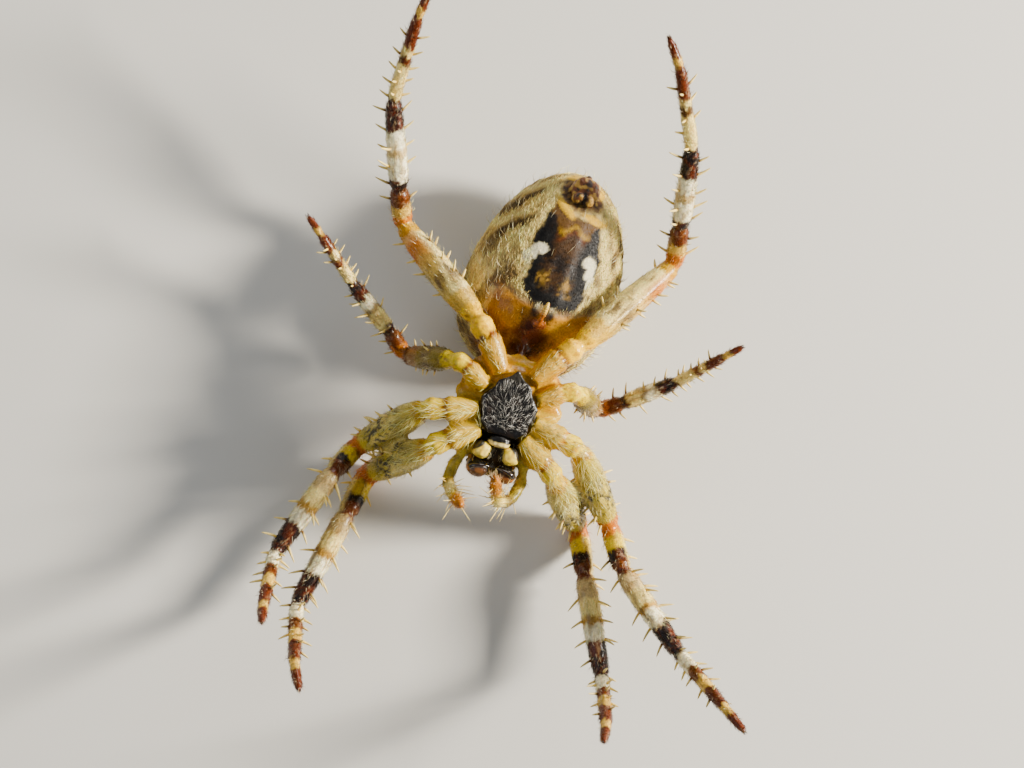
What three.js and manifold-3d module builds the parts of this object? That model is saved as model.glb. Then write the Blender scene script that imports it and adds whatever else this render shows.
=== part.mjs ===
// A female cross orb weaver spider at life size, belly up, with its legs reaching for the web above it.
// Millimetres. In the body's frame +X is the side of its right legs, +Y points to the tail
// and +Z to the belly, with the origin on the face of the breastplate.
import * as THREE from 'three';
import { mergeVertices } from 'three/addons/utils/BufferGeometryUtils.js';
import Module from 'manifold-3d';

const wasm = await Module();
wasm.setup();

const REST_DEPTH = 6.35; // from the breastplate's face down to the floor under the back
const SLIT = 0.06; // clear slit between two neighbouring pieces
const KNEE_ROUNDING = 0.7; // how far before and after a joint the limb starts to bend
const LARGEST_TRIM = 0.46; // the most of a short segment that the bend at one of its ends takes up
const FRAME_STEPS = 1500; // samples along a limb that carry its cross-section round the bends
const WELD = 1e-5; // points closer than this are one point
const FLOOR_BLOCK = { span: 60, thickness: 4 }; // what the resting parts are cut flat with

const COLOURS = {
  amber: 0xc98532,
  straw: 0xb9a060,
  tan: 0xb08a58,
  cream: 0xd9c79c,
  banded: 0x9a7650,
  umber: 0x4a2f20,
  soot: 0x241c18,
  ochre: 0xd8b04a,
  eye: 0x0c0a09,
};

const CARAPACE = {
  belly: -1.1,
  faceBelly: -1.5,
  // From the face to the waist: place along the body, half width and height of the back.
  stations: [
    { y: -3.42, half: 0.7, back: -2.3 },
    { y: -3.25, half: 1.0, back: -2.72 },
    { y: -2.7, half: 1.24, back: -2.98 },
    { y: -2.0, half: 1.32, back: -3.02 },
    { y: -1.3, half: 1.6, back: -2.92 },
    { y: -0.5, half: 2.16, back: -2.75 },
    { y: 0.4, half: 2.45, back: -2.6 },
    { y: 1.2, half: 2.3, back: -2.35 },
    { y: 1.85, half: 1.75, back: -1.95 },
    { y: 2.25, half: 0.95, back: -1.5 },
  ],
  faceEnd: -2.35,
  sides: 20,
  doming: 0.85, // below 1 the back rises steeply from the edge and is flatter on top
};

const ABDOMEN = {
  centre: [0.26, 5.22, -3.7],
  yaw: 5.8, // degrees that its tail end swings towards +X
  roll: 5.7, // degrees that its belly leans towards +X
  half: 3.7,
  front: 4.2,
  rear: 6.1,
  belly: 2.75,
  back: 2.78,
  frontDrop: 0.62, // how far the front end sinks towards the back
  rearDrop: -0.25, // how far the tail end sinks, or lifts where it is negative
  sides: 26,
  rings: 16,
  hump: { height: 0.22, along: -2.3, across: 2.5, spread: 1.25 },
};

// The short stalk between the front body and the abdomen.
const WAIST = {
  line: [[0, 2.36, -1.36], [0.06, 2.75, -1.62], [0.14, 3.3, -2.4]],
  outline: [[0, 0.26], [0.5, 0.3], [1, 0.34]],
  sides: 8,
};

const STERNUM = {
  front: -1.32,
  frontHalf: 0.6,
  tip: 1.5,
  tipHalf: 0.08,
  top: 0.02,
  bottom: -1.02,
  bevel: 0.14,
  notch: 0.85, // the half width of the flat that faces each hip, as a share of the hip's radius
};

// The four pairs of legs, front to back: the hip's line beside the breastplate, for the right side,
// the lengths of the segments, and how stout the leg and its hip are.
const LEG_PAIRS = [
  {
    hip: [[0.95, -1.35], [2.6, -2.45], [3.0, -2.85]],
    femur: 6.3, patella: 2.6, tibia: 4.9, metatarsus: 4.8, tarsus: 1.6, girth: 1.0, hipGirth: 0.97,
  },
  {
    hip: [[1.25, -0.5], [3.15, -1.05], [3.7, -1.2]],
    femur: 5.7, patella: 2.4, tibia: 4.7, metatarsus: 4.5, tarsus: 1.5, girth: 0.97, hipGirth: 0.97,
  },
  {
    hip: [[1.15, 0.45], [2.43, 1.27], [3.0, 1.3]],
    femur: 3.8, patella: 1.6, tibia: 2.85, metatarsus: 2.7, tarsus: 1.4, girth: 0.8, hipGirth: 0.86,
  },
  {
    hip: [[0.7, 1.3], [1.8, 2.8], [2.45, 3.45]],
    femur: 6.3, patella: 2.2, tibia: 4.3, metatarsus: 4.3, tarsus: 1.6, girth: 0.93, hipGirth: 1.0,
  },
];
const HIP_HEIGHTS = [-0.47, -0.56, -0.7];

// How each leg is held, from femur to tarsus. Headings turn from +X towards the tail
// and rises lift towards the belly, in degrees.
const POSES = {
  left: [
    { headings: [-136, -104, -104, -78, -63], rises: [-61, 39, 7, 63, 42] },
    { headings: [-132, -121, -111, -89, -78], rises: [-52, 52, 4, 62, 63] },
    { headings: [-169, 138, 143, 139, 140], rises: [-57, 35, 4, 31, 2] },
    { headings: [142, 114, 110, 89, 81], rises: [-31, 44, 19, 34, 26] },
  ],
  right: [
    { headings: [-42, -71, -66, -86, -104], rises: [-61, 37, 9, 70, 66] },
    { headings: [-48, -63, -41, -37, -37], rises: [-43, 31, 11, 54, 32] },
    { headings: [-22, 35, 38, 48, 46], rises: [-67, 42, 25, 44, 26] },
    { headings: [54, 102, 103, 120, 130], rises: [-19, 37, 38, 35, 21] },
  ],
};

// Each leg piece: how many of the limb's stretches it covers, its sides, and its outline
// as [share of its length, radius] for a leg of girth 1.
const LEG_PIECES = [
  {
    name: 'coxa', stretches: 2, sides: 10, colour: COLOURS.amber,
    outline: [[0, 0.42], [0.12, 0.48], [0.35, 0.6], [0.58, 0.63], [0.72, 0.55], [0.86, 0.6], [1, 0.5]],
  },
  {
    name: 'femur', stretches: 1, sides: 10, colour: COLOURS.straw,
    outline: [
      [0, 0.46], [0.07, 0.6], [0.25, 0.75], [0.55, 0.76], [0.8, 0.66], [0.9, 0.58], [0.95, 0.54], [1, 0.5],
    ],
  },
  {
    name: 'patella', stretches: 1, sides: 10, colour: COLOURS.ochre,
    outline: [[0, 0.46], [0.12, 0.51], [0.26, 0.54], [0.6, 0.53], [0.85, 0.5], [1, 0.46]],
  },
  {
    name: 'tibia', stretches: 1, sides: 10, colour: COLOURS.cream,
    outline: [[0, 0.45], [0.12, 0.52], [0.4, 0.54], [0.7, 0.49], [0.9, 0.44], [1, 0.39]],
  },
  {
    name: 'foot', stretches: 2, sides: 8, colour: COLOURS.banded,
    outline: [
      [0, 0.37], [0.08, 0.38], [0.4, 0.35], [0.68, 0.33], [0.75, 0.31], [0.82, 0.32], [0.94, 0.28], [1, 0.16],
    ],
  },
];
const THINNEST = 0.25; // no limb is slimmer than this radius, short of its tip

const CHELICERA = {
  line: [[0.62, -3.01, -1.41], [0.66, -3.19, -0.75], [0.58, -3.18, 0.0]],
  broader: 1.24, // how much wider than deep the jaw is
  outline: [[0, 0.36], [0.12, 0.44], [0.4, 0.46], [0.7, 0.43], [0.9, 0.34], [1, 0.2]],
  sides: 12,
};

const LABIUM = { at: [0, -1.76, -0.42], halves: [0.5, 0.23, 0.4], squareness: 0.8, sides: 12, rings: 6 };
const ENDITE = {
  at: [0.67, -2.31, -0.47],
  halves: [0.42, 0.45, 0.46],
  squareness: 0.75,
  toeOut: 22, // degrees
  sides: 12,
  rings: 8,
};

const PALPS = {
  left: [
    [-1.4, -2.5, -0.62], [-1.85, -3.7, -1.25], [-1.72, -4.25, -0.75], [-1.45, -4.6, -0.05],
    [-1.05, -4.95, 1.25],
  ],
  right: [
    [1.4, -2.5, -0.62], [1.56, -3.4, -1.3], [1.4, -4.05, -1.05], [0.66, -4.58, -0.3], [0.08, -3.25, 1.12],
  ],
  outline: [
    [0, 0.2], [0.1, 0.27], [0.22, 0.34], [0.4, 0.32], [0.5, 0.34], [0.62, 0.33], [0.7, 0.31], [0.85, 0.33],
    [0.95, 0.27], [1, 0.12],
  ],
  sides: 8,
};

const EYES = [
  { name: 'front_middle', at: [0.27, -3.4, -2.18], radius: 0.15 },
  { name: 'rear_middle', at: [0.25, -3.22, -2.64], radius: 0.13 },
  { name: 'front_side', at: [0.92, -3.16, -1.96], radius: 0.12 },
  { name: 'rear_side', at: [1.02, -2.98, -2.13], radius: 0.12 },
];

const EYE_SIDES = 8;
const EYE_RINGS = 5;

// The egg opening's plate and its tongue, placed across and along the belly of the abdomen.
const EPIGYNE = {
  at: [0, -1.25],
  plate: { halves: [0.425, 0.3, 0.2], squareness: 0.9, sides: 12, rings: 6 },
  tongue: { length: 1.05, rise: 0.3, bend: 0.45, arch: 0.2, sides: 8 },
  outline: [[0, 0.22], [0.3, 0.17], [0.8, 0.15], [1, 0.08]],
};

const SPINNERETS = {
  along: 5.08,
  mound: { halves: [0.72, 0.74, 0.36], along: 0.1, squareness: 0.9, sides: 12, rings: 6 },
  cones: [
    { across: 0.28, along: -0.34, length: 0.52, radius: 0.27, lean: 30 },
    { across: 0.36, along: 0.2, length: 0.5, radius: 0.23, lean: 52 },
    { across: 0, along: 0.56, length: 0.4, radius: 0.25, lean: 62 },
  ],
  sunk: 0.3, // how deep a cone starts below the skin
  closing: 0.12, // how much the cones of a pair lean towards each other
  outline: [[0, 1], [0.55, 1], [0.8, 0.8], [1, 0.35]], // radii as shares of the cone's own
  sides: 10,
};

const radians = THREE.MathUtils.degToRad;
const vector = (point) => new THREE.Vector3(...point);

function mesh(name, geometry, colour, roughness = 0.55) {
  const material = new THREE.MeshStandardMaterial({ color: colour, roughness, metalness: 0 });
  const piece = new THREE.Mesh(geometry, material);
  piece.name = name;
  return piece;
}

// Positions alone, with shared points merged and no triangle that has lost a side.
function welded(geometry) {
  const bare = geometry.clone();
  bare.deleteAttribute('normal');
  bare.deleteAttribute('uv');
  const merged = mergeVertices(bare, WELD);
  const corners = [...merged.index.array];
  const kept = corners.filter((_, i) => {
    const [a, b, c] = corners.slice(i - (i % 3), i - (i % 3) + 3);
    return a !== b && b !== c && c !== a;
  });
  merged.setIndex(kept);
  return merged;
}

function toSolid(geometry) {
  const merged = welded(geometry);
  const vertProperties = new Float32Array(merged.attributes.position.array);
  const triVerts = new Uint32Array(merged.index.array);
  return new wasm.Manifold(new wasm.Mesh({ numProp: 3, vertProperties, triVerts }));
}

function toGeometry(solid) {
  const { vertProperties, triVerts } = solid.getMesh();
  const geometry = new THREE.BufferGeometry();
  geometry.setAttribute('position', new THREE.BufferAttribute(vertProperties, 3));
  geometry.setIndex(new THREE.BufferAttribute(triVerts, 1));
  return geometry;
}

function without(geometry, ...tools) {
  return toGeometry(tools.reduce((rest, tool) => rest.subtract(toSolid(tool)), toSolid(geometry)));
}

function joined(...geometries) {
  return toGeometry(geometries.map(toSolid).reduce((whole, next) => whole.add(next)));
}

function reshape(geometry, place) {
  const body = welded(geometry);
  const points = body.attributes.position;
  const point = new THREE.Vector3();
  for (let i = 0; i < points.count; i += 1) {
    const moved = place(point.fromBufferAttribute(points, i));
    points.setXYZ(i, moved.x, moved.y, moved.z);
  }
  return body;
}

// A lathe turned about +Y whose rings close on the axis at both ends.
function spindle(rings, sides) {
  const first = new THREE.Vector2(0, rings[0].y);
  const last = new THREE.Vector2(0, rings.at(-1).y);
  return new THREE.LatheGeometry([first, ...rings, last], sides);
}

// The floor lies under the back, so whatever rests on it has a small flat there.
function seated(geometry, placement = new THREE.Matrix4()) {
  const { span, thickness } = FLOOR_BLOCK;
  const floor = new THREE.BoxGeometry(span, span, thickness);
  floor.translate(0, 0, -REST_DEPTH - thickness / 2);
  floor.applyMatrix4(placement.clone().invert());
  return without(geometry, floor);
}

// A limb runs straight between its corners and bends smoothly at each of them.
function limb(corners) {
  const path = new THREE.CurvePath();
  const marks = [0];
  let start = corners[0];
  for (let i = 1; i < corners.length - 1; i += 1) {
    const back = corners[i - 1].distanceTo(corners[i]);
    const ahead = corners[i + 1].distanceTo(corners[i]);
    const trim = Math.min(KNEE_ROUNDING, LARGEST_TRIM * back, LARGEST_TRIM * ahead);
    const before = corners[i].clone().lerp(corners[i - 1], trim / back);
    const after = corners[i].clone().lerp(corners[i + 1], trim / ahead);
    const bend = new THREE.QuadraticBezierCurve3(before, corners[i], after);
    path.add(new THREE.LineCurve3(start, before));
    marks.push(path.getLength() + bend.getLength() / 2);
    path.add(bend);
    path.updateArcLengths();
    start = after;
  }
  path.add(new THREE.LineCurve3(start, corners.at(-1)));
  path.updateArcLengths();
  marks.push(path.getLength());
  return { path, marks, frames: path.computeFrenetFrames(FRAME_STEPS) };
}

// One piece of a limb between two distances along it.
function limbPiece({ path, frames }, from, to, outline, sides) {
  const rings = outline.map(([share, radius]) => (
    new THREE.Vector2(radius, THREE.MathUtils.lerp(from, to, share))));
  return reshape(spindle(rings, sides), (point) => {
    const step = Math.round((point.y / path.getLength()) * FRAME_STEPS);
    const centre = path.getPointAt(step / FRAME_STEPS);
    centre.addScaledVector(frames.normals[step], point.x);
    return centre.addScaledVector(frames.binormals[step], -point.z);
  });
}

function legCorners(pair, pose, side) {
  const hip = pair.hip.map(([x, y], i) => new THREE.Vector3(side * x, y, HIP_HEIGHTS[i]));
  const lengths = [pair.femur, pair.patella, pair.tibia, pair.metatarsus, pair.tarsus];
  const corners = [...hip];
  lengths.forEach((length, i) => {
    const heading = radians(pose.headings[i]);
    const rise = radians(pose.rises[i]);
    const flat = Math.cos(rise);
    const way = new THREE.Vector3(flat * Math.cos(heading), flat * Math.sin(heading), Math.sin(rise));
    corners.push(corners.at(-1).clone().addScaledVector(way, length));
  });
  return corners;
}

function buildLeg(number, sideName) {
  const pair = LEG_PAIRS[number - 1];
  const side = sideName === 'left' ? -1 : 1;
  const whole = limb(legCorners(pair, POSES[sideName][number - 1], side));
  const group = new THREE.Group();
  let stretch = 0;
  for (const piece of LEG_PIECES) {
    const from = whole.marks[stretch] + SLIT / 2;
    stretch += piece.stretches;
    const isTip = stretch === whole.marks.length - 1;
    const to = whole.marks[stretch] - (isTip ? 0 : SLIT / 2);
    const girth = piece.name === 'coxa' ? pair.hipGirth : pair.girth;
    const outline = piece.outline.map(([share, radius]) => {
      const atTip = isTip && share === 1;
      return [share, atTip ? radius : Math.max(THINNEST, radius * girth)];
    });
    let geometry = limbPiece(whole, from, to, outline, piece.sides);
    geometry.computeBoundingBox();
    if (geometry.boundingBox.min.z < -REST_DEPTH) {
      geometry = seated(geometry);
    }
    group.add(mesh(`leg_${number}_${sideName}_${piece.name}`, geometry, piece.colour));
  }
  return group;
}

function buildEyes() {
  const group = new THREE.Group();
  for (const [sideName, side] of [['left', -1], ['right', 1]]) {
    for (const eye of EYES) {
      const lens = new THREE.SphereGeometry(eye.radius, EYE_SIDES, EYE_RINGS);
      const ball = mesh(`eye_${eye.name}_${sideName}`, lens, COLOURS.eye, 0.1);
      ball.position.set(side * eye.at[0], eye.at[1], eye.at[2]);
      group.add(ball);
    }
  }
  return group;
}

// The shield over the front body: flat where the hips lie under it and domed over the back.
function buildCarapace() {
  const { stations, belly, faceBelly, faceEnd, sides, doming } = CARAPACE;
  const rings = stations.map(({ y, half }) => new THREE.Vector2(half, y));
  const dome = reshape(spindle(rings, sides), (point) => {
    const station = stations.reduce((best, next) => (
      Math.abs(next.y - point.y) < Math.abs(best.y - point.y) ? next : best));
    const floor = point.y < faceEnd ? faceBelly : belly;
    const height = Math.max(0, -point.z) / station.half;
    return new THREE.Vector3(point.x, point.y, THREE.MathUtils.lerp(floor, station.back, height ** doming));
  });
  const sockets = [];
  for (const eye of EYES) {
    for (const side of [-1, 1]) {
      const socket = new THREE.SphereGeometry(eye.radius + SLIT / 3, EYE_SIDES, EYE_RINGS);
      socket.translate(side * eye.at[0], eye.at[1], eye.at[2]);
      sockets.push(socket);
    }
  }
  return mesh('carapace', without(dome, ...sockets), COLOURS.tan);
}

// The breastplate: a shield whose edge is scalloped by the eight hips around it.
function buildSternum() {
  const notch = STERNUM.notch * LEG_PIECES[0].outline[0][1];
  const rightEdge = [];
  for (const { hip: [start, end] } of LEG_PAIRS) {
    const from = new THREE.Vector2(...start);
    const way = new THREE.Vector2(...end).sub(from).normalize();
    const along = new THREE.Vector2(-way.y, way.x);
    const inset = from.clone().addScaledVector(way, -STERNUM.bevel - SLIT);
    rightEdge.push(inset.clone().addScaledVector(along, -notch));
    rightEdge.push(inset.clone().addScaledVector(along, notch));
  }
  rightEdge[0].set(STERNUM.frontHalf, STERNUM.front);
  rightEdge.push(new THREE.Vector2(STERNUM.tipHalf, STERNUM.tip));
  const leftEdge = rightEdge.map((point) => new THREE.Vector2(-point.x, point.y)).reverse();
  const depth = STERNUM.top - STERNUM.bottom - STERNUM.bevel;
  const plate = new THREE.ExtrudeGeometry(new THREE.Shape([...rightEdge, ...leftEdge]), {
    depth: depth - STERNUM.bevel,
    bevelSize: STERNUM.bevel,
    bevelThickness: STERNUM.bevel,
    bevelSegments: 2,
  });
  plate.translate(0, 0, STERNUM.bottom + STERNUM.bevel);
  return mesh('sternum', plate, COLOURS.soot);
}

// A small rounded plate or lobe, from its middle, its half sizes and how square it is.
function lobe(centre, { halves, squareness, sides, rings }) {
  const ball = new THREE.SphereGeometry(1, sides, rings);
  const swell = (share) => Math.sign(share) * Math.abs(share) ** squareness;
  return reshape(ball, (point) => new THREE.Vector3(
    centre[0] + halves[0] * swell(point.x),
    centre[1] + halves[1] * swell(point.y),
    centre[2] + halves[2] * swell(point.z),
  ));
}

function buildMouth() {
  const group = new THREE.Group();
  group.add(mesh('labium', lobe(LABIUM.at, LABIUM), COLOURS.soot));
  for (const [sideName, side] of [['left', -1], ['right', 1]]) {
    const endite = lobe([0, 0, 0], ENDITE);
    endite.rotateZ(radians(side * ENDITE.toeOut));
    endite.translate(side * ENDITE.at[0], ENDITE.at[1], ENDITE.at[2]);
    group.add(mesh(`endite_${sideName}`, endite, COLOURS.ochre));

    const line = CHELICERA.line.map(([x, y, z]) => new THREE.Vector3(side * x, y, z));
    const jaw = limb(line);
    const round = limbPiece(jaw, 0, jaw.path.getLength(), CHELICERA.outline, CHELICERA.sides);
    const jawPiece = reshape(round, (point) => {
      const middle = side * CHELICERA.line[0][0];
      point.x = middle + CHELICERA.broader * (point.x - middle);
      return point;
    });
    group.add(mesh(`chelicera_${sideName}`, jawPiece, COLOURS.umber, 0.35));

    const palp = limb(PALPS[sideName].map(vector));
    const palpPiece = limbPiece(palp, 0, palp.path.getLength(), PALPS.outline, PALPS.sides);
    group.add(mesh(`palp_${sideName}`, palpPiece, COLOURS.straw));
  }
  return group;
}

// The abdomen's surface above a direction, in its own frame: an egg that is blunt in front,
// long behind, and has a low shoulder on each side of its back.
function abdomenPoint(way, swelling = 0) {
  const reach = way.y < 0 ? ABDOMEN.front : ABDOMEN.rear;
  const height = way.z > 0 ? ABDOMEN.belly : ABDOMEN.back;
  const drop = way.y < 0 ? ABDOMEN.frontDrop : ABDOMEN.rearDrop;
  const place = new THREE.Vector3(way.x * ABDOMEN.half, way.y * reach, way.z * height);
  const { hump } = ABDOMEN;
  const away = Math.hypot(place.y - hump.along, Math.abs(place.x) - hump.across) / hump.spread;
  const shoulder = way.z < 0 ? hump.height * Math.exp(-away * away) : 0;
  place.addScaledVector(way, shoulder + swelling);
  place.z -= drop * way.y * way.y;
  return place;
}

function abdomenBody(swelling = 0) {
  const ball = new THREE.SphereGeometry(1, ABDOMEN.sides, ABDOMEN.rings);
  return reshape(ball, (way) => abdomenPoint(way, swelling));
}

function buildAbdomen() {
  const group = new THREE.Group();
  group.position.set(...ABDOMEN.centre);
  group.rotation.set(0, radians(ABDOMEN.roll), radians(-ABDOMEN.yaw), 'ZYX');
  group.updateMatrix();

  const waist = limb(WAIST.line.map(vector));
  const stalk = limbPiece(waist, 0, waist.path.getLength(), WAIST.outline, WAIST.sides);
  stalk.applyMatrix4(group.matrix.clone().invert());
  const body = seated(joined(abdomenBody(), stalk), group.matrix);
  group.add(mesh('abdomen', body, COLOURS.tan));

  const clear = abdomenBody(SLIT);
  group.add(mesh('epigyne', without(epigyneBody(), clear), COLOURS.amber));
  group.add(mesh('spinnerets', without(spinneretBody(), clear), COLOURS.umber));
  return group;
}

function bellyAt(along, across = 0) {
  const reach = along < 0 ? ABDOMEN.front : ABDOMEN.rear;
  const way = new THREE.Vector3(across / ABDOMEN.half, along / reach, 0);
  way.z = Math.sqrt(1 - way.lengthSq());
  return abdomenPoint(way);
}

// The plate over the egg opening, with its tongue pointing to the tail.
function epigyneBody() {
  const { at: [across, along], plate, tongue, outline } = EPIGYNE;
  const foot = bellyAt(along, across);
  const tip = bellyAt(along + tongue.length, across).add(new THREE.Vector3(0, 0, tongue.rise));
  const bend = foot.clone().lerp(tip, tongue.bend).add(new THREE.Vector3(0, 0, tongue.arch));
  const line = limb([foot, bend, tip]);
  const scape = limbPiece(line, 0, line.path.getLength(), outline, tongue.sides);
  return joined(lobe(foot.toArray(), plate), scape);
}

// Two pairs of silk cones and the small knob behind them, on one low mound.
function spinneretBody() {
  const { mound, sunk, closing } = SPINNERETS;
  const seat = bellyAt(SPINNERETS.along + mound.along);
  const parts = [lobe(seat.toArray(), mound)];
  for (const cone of SPINNERETS.cones) {
    const sides = cone.across === 0 ? [0] : [-1, 1];
    for (const side of sides) {
      const root = bellyAt(SPINNERETS.along + cone.along, side * cone.across);
      const lean = radians(cone.lean);
      const way = new THREE.Vector3(-closing * side, Math.sin(lean), Math.cos(lean)).normalize();
      const base = root.clone().addScaledVector(way, -sunk);
      const line = limb([base, root.clone().addScaledVector(way, cone.length)]);
      const outline = SPINNERETS.outline.map(([share, part]) => [share, part * cone.radius]);
      parts.push(limbPiece(line, 0, line.path.getLength(), outline, SPINNERETS.sides));
    }
  }
  return joined(...parts);
}

const spider = new THREE.Group();
spider.add(buildCarapace(), buildSternum(), buildMouth(), buildEyes(), buildAbdomen());
for (const sideName of ['left', 'right']) {
  for (let number = 1; number <= LEG_PAIRS.length; number += 1) {
    spider.add(buildLeg(number, sideName));
  }
}

// The model's origin is on the floor, under the middle of its box.
const middle = new THREE.Box3().setFromObject(spider, true).getCenter(new THREE.Vector3());
spider.position.set(-middle.x, -middle.y, REST_DEPTH);

export default spider;
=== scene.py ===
import itertools
import math

import bpy
import numpy as np
from mathutils import Matrix, Vector
from mathutils.bvhtree import BVHTree


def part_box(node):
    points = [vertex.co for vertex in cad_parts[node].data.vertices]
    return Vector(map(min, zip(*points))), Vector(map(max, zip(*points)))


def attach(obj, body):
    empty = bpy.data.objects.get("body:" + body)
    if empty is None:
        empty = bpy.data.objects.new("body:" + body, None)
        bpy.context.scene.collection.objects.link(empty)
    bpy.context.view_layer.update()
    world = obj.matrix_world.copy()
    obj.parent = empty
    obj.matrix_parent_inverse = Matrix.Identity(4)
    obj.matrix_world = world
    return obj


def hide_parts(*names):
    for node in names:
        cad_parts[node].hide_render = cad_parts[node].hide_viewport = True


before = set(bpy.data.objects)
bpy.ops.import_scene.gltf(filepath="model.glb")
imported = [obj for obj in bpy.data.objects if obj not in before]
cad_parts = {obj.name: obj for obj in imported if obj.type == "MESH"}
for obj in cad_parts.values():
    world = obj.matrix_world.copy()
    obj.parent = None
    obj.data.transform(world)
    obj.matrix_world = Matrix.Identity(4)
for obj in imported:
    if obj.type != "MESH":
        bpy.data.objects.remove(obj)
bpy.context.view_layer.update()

MM = 0.001
PLATE_AHEAD = 1.46  # from the body's origin forward to the breastplate's front edge
PLATE_RISE = 0.02  # from the body's origin up to the breastplate's face
plate_low, plate_high = (np.array(corner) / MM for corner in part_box("sternum"))
ORIGIN = np.array([
    (plate_low[0] + plate_high[0]) / 2,
    plate_low[1] + PLATE_AHEAD,
    plate_high[2] - PLATE_RISE,
])
FLOOR = -ORIGIN[2]
CLEARANCE = {"skin": 0.02, "hair": 0.002, "spine": 0.05}  # how far each stays above the floor
TO_BACK = np.array([0.0, 0.0, -1.0])  # the way to the spider's back, which is down
RANDOM = np.random.default_rng(7)

SIDES = {"left": -1, "right": 1}
LEG_PIECES = ("coxa", "femur", "patella", "tibia", "foot")
TARSUS_FROM = 0.75  # the share of the foot piece that is metatarsus
LEGS = [f"leg_{number}_{side}" for side in SIDES for number in (1, 2, 3, 4)]
# The feelers' middle lines, from the mouth to the tip.
PALPS = {
    "palp_left": [
        (-1.4, -2.5, -0.62), (-1.85, -3.7, -1.25), (-1.72, -4.25, -0.75), (-1.45, -4.6, -0.05),
        (-1.05, -4.95, 1.25),
    ],
    "palp_right": [
        (1.4, -2.5, -0.62), (1.56, -3.4, -1.3), (1.4, -4.05, -1.05), (0.66, -4.58, -0.3),
        (0.08, -3.25, 1.12),
    ],
}
LIMBS = LEGS + list(PALPS)

VOXEL = 0.104  # the size of the skin's faces
SKIN_ROUNDS = 7  # how often the skin is evened out
JOINT_FILL = 0.93  # the ball in each leg joint, as a share of the joint's own size
COAT_DEPTH = {"abdomen": 0.08, "carapace": 0.05, "limb": 0.03}  # how deep the skin lies under its coat
# Soft membranes that close the body between its hard pieces: (middle, half sizes).
MEMBRANES = [
    ((0, 0.15, -1.27), (1.7, 2.2, 0.55)),
    ((0, 0.05, -1.05), (1.5, 2.0, 0.82)),
    ((0, 2.3, -1.36), (0.3, 0.3, 0.27)),
    ((0, -2.3, -1.0), (0.95, 0.75, 0.4)),
    *(((side * x, y, z), halves) for side in (-1, 1) for (x, y, z), halves in (
        ((1.05, -2.25, -1.05), (0.5, 0.45, 0.42)),
        ((1.8, -1.2, -0.95), (0.6, 0.4, 0.36)),
        ((1.85, 0.1, -1.0), (0.75, 0.5, 0.36)),
        ((1.6, 1.5, -1.0), (0.55, 0.4, 0.36)),
    )),
]

# The middles and half sizes of the two large forms, and the abdomen's turn and lean in degrees.
ABDOMEN = {"middle": (0.26, 5.22, -3.7), "halves": (3.7, 5.2, 2.8), "yaw": 5.8, "lean": 5.7}
SHIELD = {"middle": (0, -0.5, -1.9), "halves": (2.4, 3.0, 1.1)}

COLOURS = {
    "cream": "#f6dd88", "ivory": "#fff5cb", "tan": "#b98e38", "fawn": "#dcb44a", "umber": "#55360e",
    "olive": "#6f6418", "straw": "#c4ac30", "soot": "#050302", "bark": "#1c0f05", "rust": "#662a05",
    "ginger": "#ad6204", "yolk": "#f6c000", "amber": "#b47c06", "garnet": "#3a1102", "honey": "#cc9e00",
    "ring": "#1e1412", "ring_red": "#5e2608", "orange": "#c46c00", "lemon": "#e4c412", "pebble": "#b09068",
    "ash": "#86744a", "ochre": "#80600c", "grey": "#2c281e", "russet": "#6a380a", "sand": "#c8ad74",
    "silver": "#f6f2e6",
}


def linear(hex_colour):
    """An sRGB hex colour as linear red, green and blue."""
    parts = np.array([int(hex_colour[i:i + 2], 16) / 255 for i in (1, 3, 5)])
    return np.where(parts <= 0.04045, parts / 12.92, ((parts + 0.055) / 1.055) ** 2.4)


INK = {name: linear(value) for name, value in COLOURS.items()}


# ---- Small mathematics ----

def unit(vectors):
    """Vectors of length 1."""
    return vectors / np.maximum(np.linalg.norm(vectors, axis=-1, keepdims=True), 1e-9)


def dot(a, b):
    return (a * b).sum(-1)


def square_to(ways, others):
    """The ways turned until they are square to the others."""
    return unit(ways - dot(ways, others)[..., None] * others)


def soft_step(value, low, high):
    """0 below low, 1 above high and smooth between."""
    share = np.clip((value - low) / (high - low), 0, 1)
    return share * share * (3 - 2 * share)


def bump(value, centre, width):
    """1 at the centre, falling smoothly to nothing about two widths away."""
    return np.exp(-((value - centre) / width) ** 2)


def grain(points, size, seed):
    """Smooth random values from -1 to 1 that change over size millimetres."""
    cells = points / size + 31.7 * seed
    base = np.floor(cells).astype(np.int64)
    part = cells - base
    part = part * part * (3 - 2 * part)
    total = np.zeros(len(points))
    for corner in itertools.product((0, 1), repeat=3):
        key = base + corner
        mixed = (key[:, 0] * 73856093) ^ (key[:, 1] * 19349663) ^ (key[:, 2] * 83492791)
        mixed = (mixed * 2654435761 + 12345) & 0xFFFFFFFF
        mixed = ((mixed ^ (mixed >> 15)) * 2246822519) & 0xFFFFFFFF
        weight = np.prod(np.where(np.array(corner) == 1, part, 1 - part), axis=1)
        total += weight * (mixed / 2 ** 31 - 1)
    return total


def paint(colours, mask, ink):
    """Lays ink, which is a name or colours, over colours as far as the mask's 0 to 1 says."""
    ink = INK[ink] if isinstance(ink, str) else ink
    return colours + (ink - colours) * np.clip(mask, 0, 1)[:, None]


def all_over(points, ink):
    """One ink at every point."""
    return np.tile(INK[ink], (len(points), 1))


def layered(colours, layers):
    """Lays inks over colours one after another: each layer is a mask and its ink."""
    for mask, ink in layers:
        colours = paint(colours, mask, ink)
    return colours


def to_row(points):
    """Points of the body's frame in metres in the whole row's frame."""
    return (np.asarray(points) + ORIGIN) * MM


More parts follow.
